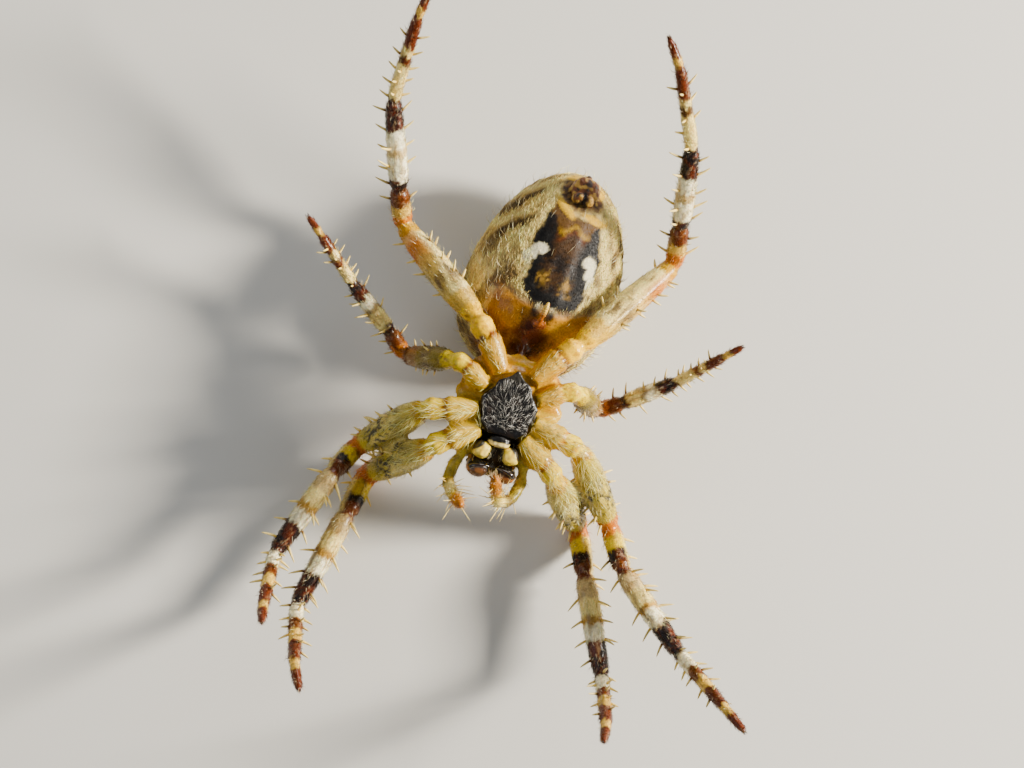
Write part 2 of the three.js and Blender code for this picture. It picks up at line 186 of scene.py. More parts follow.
def node_mesh(name):
    """Points and triangles of a CAD node, in the body's frame."""
    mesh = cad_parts[name].data
    points = np.empty(len(mesh.vertices) * 3)
    mesh.vertices.foreach_get("co", points)
    mesh.calc_loop_triangles()
    corners = np.empty(len(mesh.loop_triangles) * 3, np.int32)
    mesh.loop_triangles.foreach_get("vertices", corners)
    return points.reshape(-1, 3) / MM - ORIGIN, corners.reshape(-1, 3)


# ---- Making pieces ----

def merged(meshes):
    """The points and faces of several meshes as one."""
    starts = np.cumsum([0] + [len(points) for points, _ in meshes])
    points = np.vstack([points for points, _ in meshes])
    faces = np.vstack([faces + start for (_, faces), start in zip(meshes, starts)])
    return points, faces


def new_mesh(name, points, faces):
    """A mesh of points and of faces that all have the same number of corners."""
    mesh = bpy.data.meshes.new(name)
    mesh.vertices.add(len(points))
    mesh.vertices.foreach_set("co", np.asarray(points).ravel())
    count, sides = faces.shape
    mesh.loops.add(count * sides)
    mesh.loops.foreach_set("vertex_index", faces.astype(np.int32).ravel())
    mesh.polygons.add(count)
    mesh.polygons.foreach_set("loop_start", np.arange(0, count * sides, sides, dtype=np.int32))
    mesh.update(calc_edges=True)
    return mesh


def new_piece(name, points, faces, material, nodes=(), colours=None, corner_uv=None):
    """A smooth mesh object on the body, that stands for the CAD nodes it is given.

    colours has a row for each point; its fourth value, where there is one, is how glossy the point is."""
    mesh = new_mesh(name, to_row(points), faces)
    mesh.shade_smooth()
    if colours is not None:
        if colours.shape[1] == 3:
            colours = np.column_stack([colours, np.ones(len(colours))])
        layer = mesh.color_attributes.new("markings", "FLOAT_COLOR", "POINT")
        layer.data.foreach_set("color", colours.ravel())
    if corner_uv is not None:
        mesh.uv_layers.new(name="OFBake").data.foreach_set("uv", corner_uv.ravel())
    mesh.materials.append(material)
    piece = bpy.data.objects.new(name, mesh)
    bpy.context.scene.collection.objects.link(piece)
    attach(piece, "root")
    if nodes:
        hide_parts(*nodes)


def joined_piece(name, meshes, material, colours=None, places=None):
    """Several closed meshes as one piece; places has the unwrap's place of each point."""
    points, faces = merged(meshes)
    corner_uv = None if places is None else places[faces.ravel()]
    new_piece(name, points, faces, material, (), colours, corner_uv)


def remeshed(parts, voxel, rounds):
    """The points, faces and edges of one smoothed, evenly meshed surface round several closed meshes."""
    rough = bpy.data.objects.new("rough", new_mesh("rough", *merged(parts)))
    bpy.context.scene.collection.objects.link(rough)
    remesh = rough.modifiers.new("remesh", "REMESH")
    remesh.mode = "VOXEL"
    remesh.voxel_size = voxel
    depsgraph = bpy.context.evaluated_depsgraph_get()
    mesh = rough.evaluated_get(depsgraph).to_mesh()
    points = np.empty(len(mesh.vertices) * 3)
    mesh.vertices.foreach_get("co", points)
    corners = np.empty(len(mesh.loops), np.int32)
    mesh.loops.foreach_get("vertex_index", corners)
    edges = np.empty(len(mesh.edges) * 2, np.int32)
    mesh.edges.foreach_get("vertices", edges)
    bpy.data.objects.remove(rough)
    points, faces, edges = points.reshape(-1, 3), corners.reshape(-1, 4), edges.reshape(-1, 2)
    return smoothed(points, edges, rounds), faces, edges


def neighbour_mean(values, edges):
    """The mean of each point's neighbours along the edges."""
    count = len(values)
    ends = np.concatenate([edges[:, 0], edges[:, 1]])
    others = np.concatenate([edges[:, 1], edges[:, 0]])
    degree = np.bincount(ends, minlength=count)
    sums = [np.bincount(ends, values[others, axis], count) for axis in range(values.shape[1])]
    return np.column_stack(sums) / np.maximum(degree, 1)[:, None]


def smoothed(points, edges, rounds):
    """Evens out a surface; each round gives back the volume that it took."""
    for _ in range(rounds):
        for share in (0.5, -0.52):
            points = points + share * (neighbour_mean(points, edges) - points)
    return points


def point_normals(points, faces):
    """The normal at each point, from the faces round it."""
    a, b = points[faces[:, 2]] - points[faces[:, 0]], points[faces[:, -1]] - points[faces[:, 1]]
    face_normals = np.cross(a, b)
    corners = range(faces.shape[1])
    return unit(np.column_stack([
        sum(np.bincount(faces[:, corner], face_normals[:, axis], len(points)) for corner in corners)
        for axis in range(3)
    ]))


def ball(middle, halves, sides=24, rings=16):
    """A closed ellipsoid of triangles."""
    turns = np.linspace(0, 2 * math.pi, sides, endpoint=False)
    dips = np.linspace(0, math.pi, rings + 1)[1:-1]
    ring_points = [
        (math.sin(dip) * math.cos(turn), math.sin(dip) * math.sin(turn), math.cos(dip))
        for dip in dips for turn in turns
    ]
    points = np.array([(0, 0, 1), *ring_points, (0, 0, -1)])
    faces = []
    last = len(points) - 1
    for i in range(sides):
        j = (i + 1) % sides
        faces.append((0, 1 + i, 1 + j))
        faces.append((last, last - sides + j, last - sides + i))
        for ring in range(len(dips) - 1):
            here = 1 + ring * sides
            faces.append((here + i, here + sides + i, here + sides + j))
            faces.append((here + i, here + sides + j, here + j))
    return points * np.array(halves) + np.array(middle), np.array(faces)


def tapered_tube(line, radii, sides):
    """A closed tube of triangles along a line of points, with a radius at each."""
    line = np.asarray(line, float)
    tangents = unit(np.gradient(line, axis=0))
    side_way = unit(np.cross(tangents, [0.31, 0.17, 0.93]))
    other_way = np.cross(tangents, side_way)
    turns = np.linspace(0, 2 * math.pi, sides, endpoint=False)
    rings = [
        line + radii[:, None] * (math.cos(turn) * side_way + math.sin(turn) * other_way)
        for turn in turns
    ]
    points = np.vstack([np.stack(rings, axis=1).reshape(-1, 3), line[:1], line[-1:]])
    start, end = len(points) - 2, len(points) - 1
    faces = []
    for i in range(sides):
        j = (i + 1) % sides
        faces.append((start, j, i))
        tip_ring = (len(line) - 1) * sides
        faces.append((end, tip_ring + i, tip_ring + j))
        for ring in range(len(line) - 1):
            here = ring * sides
            faces.append((here + i, here + j, here + sides + j))
            faces.append((here + i, here + sides + j, here + sides + i))
    return points, np.array(faces)


# ---- Limb lines ----

def facing_points(one, other, reach=0.15):
    """The points of each of two pieces that face the other across the slit between them."""
    gaps = np.linalg.norm(one[:, None] - other[None], axis=2)
    return np.vstack([one[gaps.min(1) < reach], other[gaps.min(0) < reach]])


def far_end(points, start, depth=0.12):
    """The middle of the end of a piece that lies furthest from start."""
    way = unit(points.mean(0) - start)
    along = points @ way
    return points[along > along.max() - depth].mean(0)


def slice_middles(points, faces, start, end, shares):
    """The middles of a piece's cross-sections at shares of the way from start to end."""
    way = end - start
    sides = np.vstack([faces[:, [0, 1]], faces[:, [1, 2]], faces[:, [2, 0]]])
    edges = np.unique(np.sort(sides, axis=1), axis=0)
    middles = []
    for share in shares:
        height = (points - (start + share * way)) @ unit(way)
        a, b = edges[:, 0], edges[:, 1]
        cut = height[a] * height[b] < 0
        a, b = a[cut], b[cut]
        mix = (height[a] / (height[a] - height[b]))[:, None]
        cuts = points[a] + mix * (points[b] - points[a])
        middles.append((cuts.min(0) + cuts.max(0)) / 2 if len(cuts) else start + share * way)
    return middles


def run_along(line):
    """How far along the line each of its points lies."""
    return np.concatenate([[0], np.cumsum(np.linalg.norm(np.diff(line, axis=0), axis=1))])


def points_at(places, run, line):
    """The points of the line at places along its run."""
    return np.column_stack([np.interp(places, run, line[:, axis]) for axis in range(3)])


def evened(line, rounds):
    """The line with its bends rounded off."""
    line = line.copy()
    for _ in range(rounds):
        line[1:-1] = 0.5 * line[1:-1] + 0.25 * (line[:-2] + line[2:])
    return line


LINE_STEP = 0.05


def resampled(line, marks):
    """The line at even steps, smoothed, with its marks and the distance along it."""
    line, marks = np.asarray(line), np.asarray(marks)
    run = run_along(line)
    places = np.linspace(0, run[-1], int(run[-1] / LINE_STEP) + 2)
    return evened(points_at(places, run, line), 12), np.interp(places, run, marks), places


def leg_line(leg):
    """A leg's middle line, with a mark that counts its pieces: 1.5 is half way along the femur."""
    meshes = [node_mesh(f"{leg}_{piece}") for piece in LEG_PIECES]
    joints = [None]
    spreads = []
    for (one, _), (other, _) in zip(meshes, meshes[1:]):
        facing = facing_points(one, other)
        joints.append((facing.min(0) + facing.max(0)) / 2)
        spreads.append(np.linalg.norm(facing - joints[-1], axis=1).max())
    joints[0] = far_end(meshes[0][0], joints[1])
    joints.append(far_end(meshes[-1][0], joints[-1]))
    shares = np.linspace(0.06, 0.94, 12)
    line, marks = [joints[0]], [0.0]
    for number, (points, faces) in enumerate(meshes):
        line += slice_middles(points, faces, joints[number], joints[number + 1], shares)
        line.append(joints[number + 1])
        marks += [*(number + shares), number + 1.0]
    return resampled(line, marks), joints, spreads


def palp_line(name):
    """A feeler's middle line, with a mark that runs from 0 at its base to 1 at its tip."""
    corners = np.array(PALPS[name])
    run = run_along(corners)
    line, marks, places = resampled(corners, run / run[-1])
    return evened(line, 60), marks, places


class LimbPlaces:
    """Where points lie on a limb: the mark and the distance along it, the ways along and out, and the
    turn round it from the back."""

    def __init__(self, line, marks, run, points):
        nearest = ((line ** 2).sum(1)[None] - 2 * points @ line.T).argmin(1)
        tangents = unit(np.gradient(line, axis=0))
        self.along_way = tangents[nearest]
        gap = points - line[nearest]
        self.mark = marks[nearest]
        self.run = run[nearest] + dot(gap, self.along_way)
        self.line_marks, self.line_run = marks, run
        self.out = square_to(gap, self.along_way)
        back_way = square_to(TO_BACK, self.along_way)
        side_way = np.cross(self.along_way, back_way)
        self.turn = np.arctan2(dot(self.out, side_way), dot(self.out, back_way))


# ---- The abdomen's own frame ----

def turn_about(axis, degrees):
    """The matrix of a turn about an axis."""
    return np.array(Matrix.Rotation(math.radians(degrees), 3, axis))


ABDOMEN_TURN = turn_about("Z", -ABDOMEN["yaw"]) @ turn_about("Y", ABDOMEN["lean"])


def on_abdomen(points):
    """Body points in the abdomen's frame: across from its middle, along to the tail, up to the belly."""
    return (points - np.array(ABDOMEN["middle"])) @ ABDOMEN_TURN


# ---- The skin's shape ----

def flesh_nodes():
    """The CAD nodes that the one skin stands for."""
    legs = [f"{leg}_{piece}" for leg in LEGS for piece in LEG_PIECES]
    return ["carapace", "abdomen", *PALPS, *legs]


def region_of(node):
    """abdomen, carapace or the limb that a CAD node is part of."""
    return next((limb for limb in LIMBS if node.startswith(limb)), node)


REGIONS = ["abdomen", "carapace", *LIMBS]
# Creases round the limbs: the marks where they lie, and their depths.
LEG_CREASES = [(0.64, 0.06), (1.0, 0.09), (2.0, 0.08), (3.0, 0.08), (4.0, 0.06), (4 + TARSUS_FROM, 0.03)]
PALP_CREASES = [(0.12, 0.03), (0.42, 0.03), (0.55, 0.03), (0.74, 0.03)]
LUNG_OUT = 1.45  # from the abdomen's middle out to each lung cover
PIT_BACK = 0.75  # from the body's origin back to the pit in the shield
# Dimples of the abdomen, in pairs: how far across and along.
BELLY_DIMPLES = [(0.72, 0.35), (0.78, 1.7), (0.62, 2.9)]
BACK_DIMPLES = [(0.85, -1.7), (1.05, 0.1), (0.8, 1.6), (0.6, 2.9)]


class Skin:
    """The skin's points and faces, with what each point needs for its shape, colour and hair."""

    def __init__(self):
        nodes = flesh_nodes()
        meshes = [node_mesh(node) for node in nodes]
        self.lines = {leg: leg_line(leg) for leg in LEGS}
        joint_balls = []
        for _, joints, spreads in self.lines.values():
            for joint, spread in zip(joints[1:-1], spreads):
                joint_balls.append(ball(joint, [JOINT_FILL * spread] * 3))
        self.lines = {leg: line for leg, (line, _, _) in self.lines.items()}
        self.lines.update({name: palp_line(name) for name in PALPS})
        bridges = [ball(middle, halves) for middle, halves in MEMBRANES]
        points, self.faces, self.edges = remeshed(meshes + joint_balls + bridges, VOXEL, SKIN_ROUNDS)
        self.region = self.nearest_region(points, nodes, meshes)
        self.sculpt(points)

    def nearest_region(self, points, nodes, meshes):
        """The region of the CAD node that lies nearest to each point."""
        owners = []
        for node, (_, faces) in zip(nodes, meshes):
            owners += [REGIONS.index(region_of(node))] * len(faces)
        tree = BVHTree.FromPolygons(*(rows.tolist() for rows in merged(meshes)))
        return np.array([owners[tree.find_nearest(Vector(point))[2]] for point in points])

    def sculpt(self, points):
        """Sinks the skin by the depth of its coat and gives it its joints, folds and dimples."""
        normals = point_normals(points, self.faces)
        depth = np.full(len(points), COAT_DEPTH["limb"])
        depth[self.region == REGIONS.index("abdomen")] = COAT_DEPTH["abdomen"]
        depth[self.region == REGIONS.index("carapace")] = COAT_DEPTH["carapace"]
        depth += self.limb_relief(points) + self.abdomen_relief(points) + self.carapace_relief(points)
        depth = neighbour_mean(depth[:, None], self.edges)[:, 0]
        points = points - depth[:, None] * normals
        points = smoothed(points, self.edges, 1)
        points[:, 2] = np.maximum(points[:, 2], FLOOR + CLEARANCE["skin"])
        self.points = points
        self.normals = point_normals(points, self.faces)
        self.places = {name: LimbPlaces(*self.lines[name], points[self.of(name)]) for name in LIMBS}

    def of(self, region):
        """The rows of the points that belong to a region."""
        return np.flatnonzero(self.region == REGIONS.index(region))

    def abdomen(self):
        """The rows of the abdomen's points, and where these lie in its own frame."""
        rows = self.of("abdomen")
        return rows, *on_abdomen(self.points[rows]).T

    def limb_relief(self, points):
        """How deep each point of a limb is sunk: creases at the joints, with a swollen lip before each."""
        sunk = np.zeros(len(points))
        for name in LIMBS:
            rows = self.of(name)
            place = LimbPlaces(*self.lines[name], points[rows])
            for mark, depth in PALP_CREASES if name in PALPS else LEG_CREASES:
                away = place.run - np.interp(mark, place.line_marks, place.line_run)
                sunk[rows] += depth * bump(away, 0, 0.1) - 0.3 * depth * bump(away, -0.3, 0.14)
            if name in LEGS:
                sunk[rows] += 0.05 * soft_step(place.mark, 4.55, 4.95)
        return sunk

    def abdomen_relief(self, points):
        """The furrow across the front, the lung covers, the ring round the silk cones and the dimples."""
        rows = self.of("abdomen")
        across, along, up = on_abdomen(points[rows]).T
        under = soft_step(up, 0.6, 1.4)
        above = soft_step(-up, 0.4, 1.2)
        furrow = furrow_line(across) - along
        sunk = 0.07 * bump(furrow, 0, 0.1) * under * soft_step(2.7 - np.abs(across), 0, 0.5)
        for side in (-1, 1):
            lung = np.hypot((across - side * LUNG_OUT) / 0.75, (along + 1.55) / 0.7)
            sunk -= 0.06 * soft_step(1.15 - lung, 0, 0.4) * under
        ring = np.hypot(across / 0.95, (along - 5.25) / 0.95)
        sunk += 0.09 * bump(ring, 1.0, 0.16) * under - 0.05 * bump(ring, 1.3, 0.16) * under
        dimples = ((BELLY_DIMPLES, 0.05, 0.14, under), (BACK_DIMPLES, 0.1, 0.16, above))
        for places, depth, width, side in dimples:
            for out, back in places:
                sunk += depth * bump(np.hypot(np.abs(across) - out, along - back), 0, width) * side
        folds = grain(points[rows] * [1.0, 0.45, 1.0], 0.5, 3)
        sunk += 0.02 * folds + 0.012 * grain(points[rows], 0.22, 4)
        depth = np.zeros(len(points))
        depth[rows] = sunk
        return depth

    def carapace_relief(self, points):
        """The pit in the middle of the shield, the furrows that run from it and the raised head."""
        rows = self.of("carapace")
        x, y, z = points[rows].T
        above = soft_step(-z, 1.7, 2.2)
        pit = np.hypot(x / 0.16, (y - PIT_BACK) / 0.4)
        sunk = 0.16 * bump(pit, 0, 1.0) * above
        turn = np.arctan2(np.abs(x), y - PIT_BACK)
        reach = np.hypot(x, y - PIT_BACK)
        for spoke in (0.6, 1.25, 1.85):
            sunk += 0.05 * bump(turn, spoke, 0.1) * bump(reach, 1.1, 0.7) * above
        neck = np.abs(x) - (0.35 + 0.42 * np.clip(-y - 0.1, 0, 3))
        sunk += 0.09 * bump(neck, 0, 0.14) * bump(y, -0.9, 0.9) * above
        depth = np.zeros(len(points))
        depth[rows] = sunk
        return depth


def furrow_line(across):
    """Where the fold across the front of the belly runs, in the abdomen's frame."""
    return -0.62 + 0.13 * across ** 2


# ---- Markings ----

# What colour each stretch of a leg has, up to a share of its piece's length.
BANDS = {
    "front": {
        "coxa": [(0.6, "honey"), (0.66, "ginger"), (1.0, "lemon")],
        "femur": [(0.06, "honey"), (0.87, "straw"), (1.0, "orange")],
        "patella": [(0.24, "orange"), (0.58, "lemon"), (0.84, "ring"), (1.0, "russet")],
        "tibia": [
            (0.05, "rust"), (0.24, "sand"), (0.42, "cream"), (0.5, "tan"), (0.66, "ivory"), (1.0, "ring"),
        ],
        "metatarsus": [
            (0.07, "ring"), (0.31, "ivory"), (0.49, "russet"),
            (0.67, "fawn"), (0.96, "ring_red"), (1.0, "fawn"),
        ],
        "tarsus": [(0.26, "fawn"), (1.0, "ring_red")],
    },
    "third": {
        "coxa": [(0.6, "honey"), (0.66, "ginger"), (1.0, "lemon")],
        "femur": [
            (0.1, "lemon"), (0.34, "olive"), (0.46, "ash"), (0.6, "olive"), (0.86, "ash"), (1.0, "umber"),
        ],
        "patella": [(0.5, "orange"), (1.0, "russet")],
        "tibia": [(0.12, "ring"), (0.4, "cream"), (0.5, "ash"), (0.7, "ivory"), (1.0, "ring")],
        "metatarsus": [(0.05, "ring"), (0.4, "cream"), (0.54, "russet"), (0.66, "cream"), (1.0, "ring_red")],
        "tarsus": [(0.3, "fawn"), (1.0, "ring_red")],
    },
    "hind": {
        "coxa": [(0.6, "amber"), (0.66, "garnet"), (1.0, "yolk")],
        "femur": [(0.1, "yolk"), (0.24, "fawn"), (0.88, "cream"), (1.0, "honey")],
        "patella": [(0.34, "orange"), (0.6, "fawn"), (1.0, "russet")],
        "tibia": [(0.12, "ring"), (0.38, "ivory"), (0.46, "sand"), (0.66, "ivory"), (1.0, "ring")],
        "metatarsus": [(0.03, "ring"), (0.44, "cream"), (0.54, "umber"), (0.62, "cream"), (1.0, "ring_red")],
        "tarsus": [(0.28, "fawn"), (1.0, "ring_red")],
    },
}
# Which set of bands each pair of legs wears.
BAND_SETS = {"1": "front", "2": "front", "3": "third", "4": "hind"}


def limb_kind(name):
    """front, third or hind, the set of bands that a leg wears."""
    return BAND_SETS[name[4]]


def band_edges(name):
    """A leg's bands one after another, each with the mark where it ends."""
    bands = BANDS[limb_kind(name)]
    edges = []
    for number, piece in enumerate(("coxa", "femur", "patella", "tibia")):
        edges += [(number + share, ink) for share, ink in bands[piece]]
    edges += [(4 + TARSUS_FROM * share, ink) for share, ink in bands["metatarsus"]]
    edges += [(4 + TARSUS_FROM + (1 - TARSUS_FROM) * share, ink) for share, ink in bands["tarsus"]]
    return edges


def leg_bands(name, place, points, long_way):
    """A leg's bands of colour with ragged edges."""
    where = place.run + 0.15 * grain(long_way, 0.12, 11) + 0.1 * grain(points, 0.3, 12)
    edges = band_edges(name)
    colours = all_over(points, edges[0][1])
    for (mark, _), (_, ink) in zip(edges, edges[1:]):
        edge = np.interp(mark, place.line_marks, place.line_run)
        colours = paint(colours, soft_step(where, edge - 0.09, edge + 0.09), ink)
    return colours


def hip_colours(colours, name, place, points, fine, broad, under):
    """A hip: straw or honey clouded with amber, rusty joints, and a fawn pad on its belly side."""
    hip = soft_step(0.62 - place.mark, 0, 0.08)
    pad = hip * under * soft_step(place.mark, 0.08, 0.2)
    pad = pad * soft_step(0.8 - np.abs(np.sin(place.turn)), 0, 0.35)
    base, tan = ("straw", 0.45) if limb_kind(name) == "front" else ("honey", 0.75)
    knob = bump(place.mark, 0.86, 0.17)
    return layered(colours, [
        (hip * (0.4 + 0.5 * soft_step(broad, -0.2, 0.8)), base),
        (tan * hip * soft_step(broad + 0.6 * (1 - under), 0.0, 0.6), "amber"),
        (0.8 * bump(place.mark, 0.66, 0.05) * soft_step(fine + 0.4 * under, 0.0, 0.4), "rust"),
        (0.7 * knob * soft_step(grain(points, 0.16, 26) + 0.3 * fine, 0.0, 0.5), "amber"),
        (0.6 * bump(place.mark, 1.04, 0.03) * soft_step(fine, -0.2, 0.4), "rust"),
        (0.55 * pad * soft_step(fine, -0.5, 0.4), "fawn"),
    ])


def leg_colours(name, place, points):
    """A leg's bands, and the streaks and specks on its femur, shin, foot and hip; the pale streaks on its
    dark rings are partly painted glints.
    """
    long_way = points - 0.8 * dot(points, place.along_way)[:, None] * place.along_way
    colours = leg_bands(name, place, points, long_way)
    under = soft_step(-np.cos(place.turn), -0.2, 0.7)
    fine = grain(long_way, 0.1, 13)
    broad = grain(long_way, 0.24, 14)
    femur = soft_step(place.mark, 1.03, 1.15) * soft_step(1.84 - place.mark, 0, 0.1)
    outward = np.sign(points[:, 0].mean()) * place.out[:, 0]
    if limb_kind(name) == "front":
        sides = soft_step(np.abs(np.sin(place.turn)), 0.7, 0.98)
        specks = soft_step(grain(0.45 * points + 0.55 * long_way, 0.1, 15), 0.0, 0.2)
        clouds = 0.25 + 0.75 * soft_step(grain(points, 0.5, 19) + 0.4 * outward, -0.4, 0.3)
        shin = soft_step(place.mark, 2.1, 2.3) * soft_step(3.1 - place.mark, 0, 0.1)
        colours = layered(colours, [
            (0.85 * femur * soft_step(broad, -0.4, 0.4) * (1 - 0.3 * under), "olive"),
            (0.35 * femur * soft_step(-broad, 0.2, 0.7), "cream"),
            (0.4 * femur * sides, "cream"),
            (0.95 * femur * specks * clouds * soft_step(place.mark, 1.1, 1.4), "grey"),
            (0.8 * shin * soft_step(outward, 0.35, 0.8), "cream"),
            (0.8 * bump(place.mark, 1.8, 0.06) * under, "straw"),
        ])
    else:
        specks = soft_step(grain(long_way, 0.12, 15), 0.0, 0.35)
        clouds = bump(place.mark + 0.03 * broad, 1.4, 0.1) + bump(place.mark + 0.03 * broad, 1.76, 0.09)
        golden = 0.65 if limb_kind(name) == "hind" else 0.2
        knee = bump(place.mark, 1.78, 0.16) * soft_step(outward, -0.1, 0.5)
        colours = layered(colours, [
            (golden * femur * soft_step(outward + 0.6 * broad, 0.0, 0.8), "honey"),
            ((0.15 + 0.75 * clouds) * femur * specks, "umber"),
            (0.35 * clouds * femur, "ash"),
            (0.4 * femur * soft_step(fine + 0.5 * broad, 0.25, 0.6), "umber"),
            (1.3 * golden * knee, "orange"),
        ])
    beyond = soft_step(place.mark, 2.0, 2.1)
    darkness = soft_step(0.16 - colours.mean(1), 0, 0.07) * beyond
    colours = layered(colours, [
        (0.45 * beyond * (1 - darkness) * soft_step(fine, 0.05, 0.4), "tan"),
        (0.45 * beyond * (1 - darkness) * soft_step(broad, 0.3, 0.65), "grey"),
        (0.35 * beyond * (1 - darkness) * soft_step(fine, 0.4, 0.6), "umber"),
        (0.8 * darkness * soft_step(broad + 0.35 * under, 0.25, 0.7), "ring_red"),
        # Partly painted highlight: pale streaks on the dark rings stand for pale bristles and for glints of
        # light on them.
        (0.45 * darkness * soft_step(fine, 0.35, 0.65), "pebble"),
    ])
    return hip_colours(colours, name, place, points, fine, broad, under)


def palp_colours(place, points):
    """Straw clouded with olive, a smudge in the middle, pale before the last joint, with a ginger tip."""
    share = place.mark + 0.02 * grain(points, 0.2, 16)
    return layered(all_over(points, "straw"), [
        (0.8 * soft_step(grain(points, 0.3, 17), -0.3, 0.4), "olive"),
        (0.7 * bump(share, 0.48, 0.05), "umber"),
        (0.8 * bump(share, 0.62, 0.08), "cream"),
        (soft_step(share, 0.72, 0.78), "honey"),
        (0.8 * soft_step(share + 0.04 * grain(points, 0.15, 18), 0.76, 0.84), "ginger"),
        (0.6 * soft_step(share, 0.93, 1.0), "rust"),
    ])


def eye_seats():
    """The middle and the radius of each eye."""
    seats = {}
    for name in ("front_middle", "rear_middle", "front_side", "rear_side"):
        for side in SIDES:
            low, high = (np.array(corner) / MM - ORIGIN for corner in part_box(f"eye_{name}_{side}"))
            seats[f"eye_{name}_{side}"] = (low + high) / 2, (high[2] - low[2]) / 2
    return seats


def carapace_colours(points):
    """Fawn with a dark stripe down the middle, dark edges and eye seats, and a flecked face; amber below."""
    x, y, z = points.T
    above = soft_step(-z, 1.5, 2.0)
    narrowing = 1 + 0.25 * soft_step(-y, 0, 2)
    stripe = soft_step(0.42 + 0.16 * grain(points, 0.4, 21) - np.abs(x) * narrowing, 0, 0.2)
    rim = soft_step(np.hypot(x / 2.4, (y - 0.3) / 2.6) + 0.05 * grain(points, 0.3, 22), 0.72, 0.95)
    face = soft_step(-y, 2.3, 2.8) * above
    colours = layered(all_over(points, "honey"), [
        (0.6 * soft_step(grain(points, 0.35, 20), -0.2, 0.6), "amber"),
        (above, "fawn"),
        (0.75 * stripe * above, "umber"),
        (0.7 * rim * above, "umber"),
        (0.5 * bump(np.hypot(x, y - PIT_BACK), 0, 0.4) * above, "bark"),
        (0.6 * face * soft_step(grain(points, 0.3, 24), -0.3, 0.4), "umber"),
        (0.6 * face * bump(np.abs(x), 0.75, 0.16), "cream"),
    ])
    for middle, radius in eye_seats().values():
        seat = np.linalg.norm(points - middle, axis=1) + 0.04 * grain(points, 0.12, 25)
        colours = paint(colours, 0.9 * above * soft_step(2.3 * radius - seat, 0, 0.8 * radius), "soot")
    return paint(colours, 0.3 * soft_step(grain(points, 0.15, 23), 0.2, 0.7) * above, "ash")


# The outline of the dark patch under the belly: places along, and how far it reaches to each side.
PATCH_ALONG = [-0.62, -0.3, 0.22, 0.8, 1.31, 1.8, 2.4, 2.9, 3.5, 4.0]
PATCH_REACH = {
    "left": [0.6, 1.06, 1.4, 1.42, 1.34, 1.62, 1.62, 1.5, 1.3, 1.1],
    "right": [1.1, 1.46, 1.55, 1.56, 1.6, 1.82, 1.75, 1.62, 1.5, 1.3],
}


def belly_patch_half(across, along):
    """Half the width of the dark patch under the abdomen, on each point's own side."""
    left, right = (np.interp(along, PATCH_ALONG, PATCH_REACH[side]) for side in SIDES)
    return np.where(across < 0, left, right)


def spot(local, across, along, halves, turn=0.0):
    """How far each point lies from the middle of an oval spot, where 1 is its edge."""
    x, y = local[:, 0] - across, local[:, 1] - along
    c, s = math.cos(math.radians(turn)), math.sin(math.radians(turn))
    return np.hypot((c * x + s * y) / halves[0], (c * y - s * x) / halves[1])


# Spots on the belly and the back: (across, along, half sizes, turn in degrees).
PALE_MARKS = [
    (-1.13, 1.98, (0.36, 0.27), 20), (-1.36, 1.7, (0.2, 0.26), 30), (-1.6, 1.4, (0.2, 0.3), 35),
    (1.32, 2.12, (0.34, 0.34), 0), (1.42, 1.76, (0.24, 0.34), -15), (1.58, 1.35, (0.14, 0.34), -10),
]
OCHRE_SPOTS = [(-0.54, 0.84, (0.24, 0.27), 20), (0.62, 0.7, (0.28, 0.3), -30)]
BROWN_FLECKS = [
    (2.5, 2.9, (0.17, 0.5), -8), (1.95, 1.5, (0.14, 0.34), 0), (1.8, 0.62, (0.13, 0.16), 0),
    (1.88, 0.06, (0.17, 0.17), 0), (-1.95, 0.5, (0.4, 0.26), 30), (-2.4, -0.1, (0.4, 0.22), 30),
]
CONE_SPOTS = [(-0.6, 5.12, (0.3, 0.2), 10), (0.86, 5.02, (0.2, 0.26), 0), (0.12, 5.95, (0.3, 0.14), 0)]
GOLD_SCALLOPS = [
    (-0.64, 4.2, (0.64, 0.2), -34), (0.85, 4.1, (0.62, 0.18), -6),
    (-0.4, 5.8, (0.5, 0.14), 25), (0.95, 5.5, (0.14, 0.35), 0),
]
CROSS = [
    (0, -2.6, (0.14, 0.3), 0), (0, -1.85, (0.15, 0.34), 0), (0, -1.2, (0.2, 0.26), 0),
    (0, -0.5, (0.15, 0.36), 0), (0, 0.3, (0.12, 0.3), 0),
    (0.5, -1.25, (0.26, 0.13), 0), (1.0, -1.4, (0.22, 0.12), 0),
    (0.9, 1.2, (0.1, 0.1), 0), (0.75, 2.1, (0.09, 0.09), 0), (0.6, 3.0, (0.08, 0.08), 0),
]


def spotted(colours, local, spots, rough, mask, ink, soft=0.4):
    """Lays a list of spots on the colours, with ragged edges that fade over soft."""
    for across, along, halves, turn in spots:
        inside = soft_step(1.0 + 0.5 * soft - spot(local, across, along, halves, turn) - rough, 0, soft)
        colours = paint(colours, inside * mask, ink)
    return colours


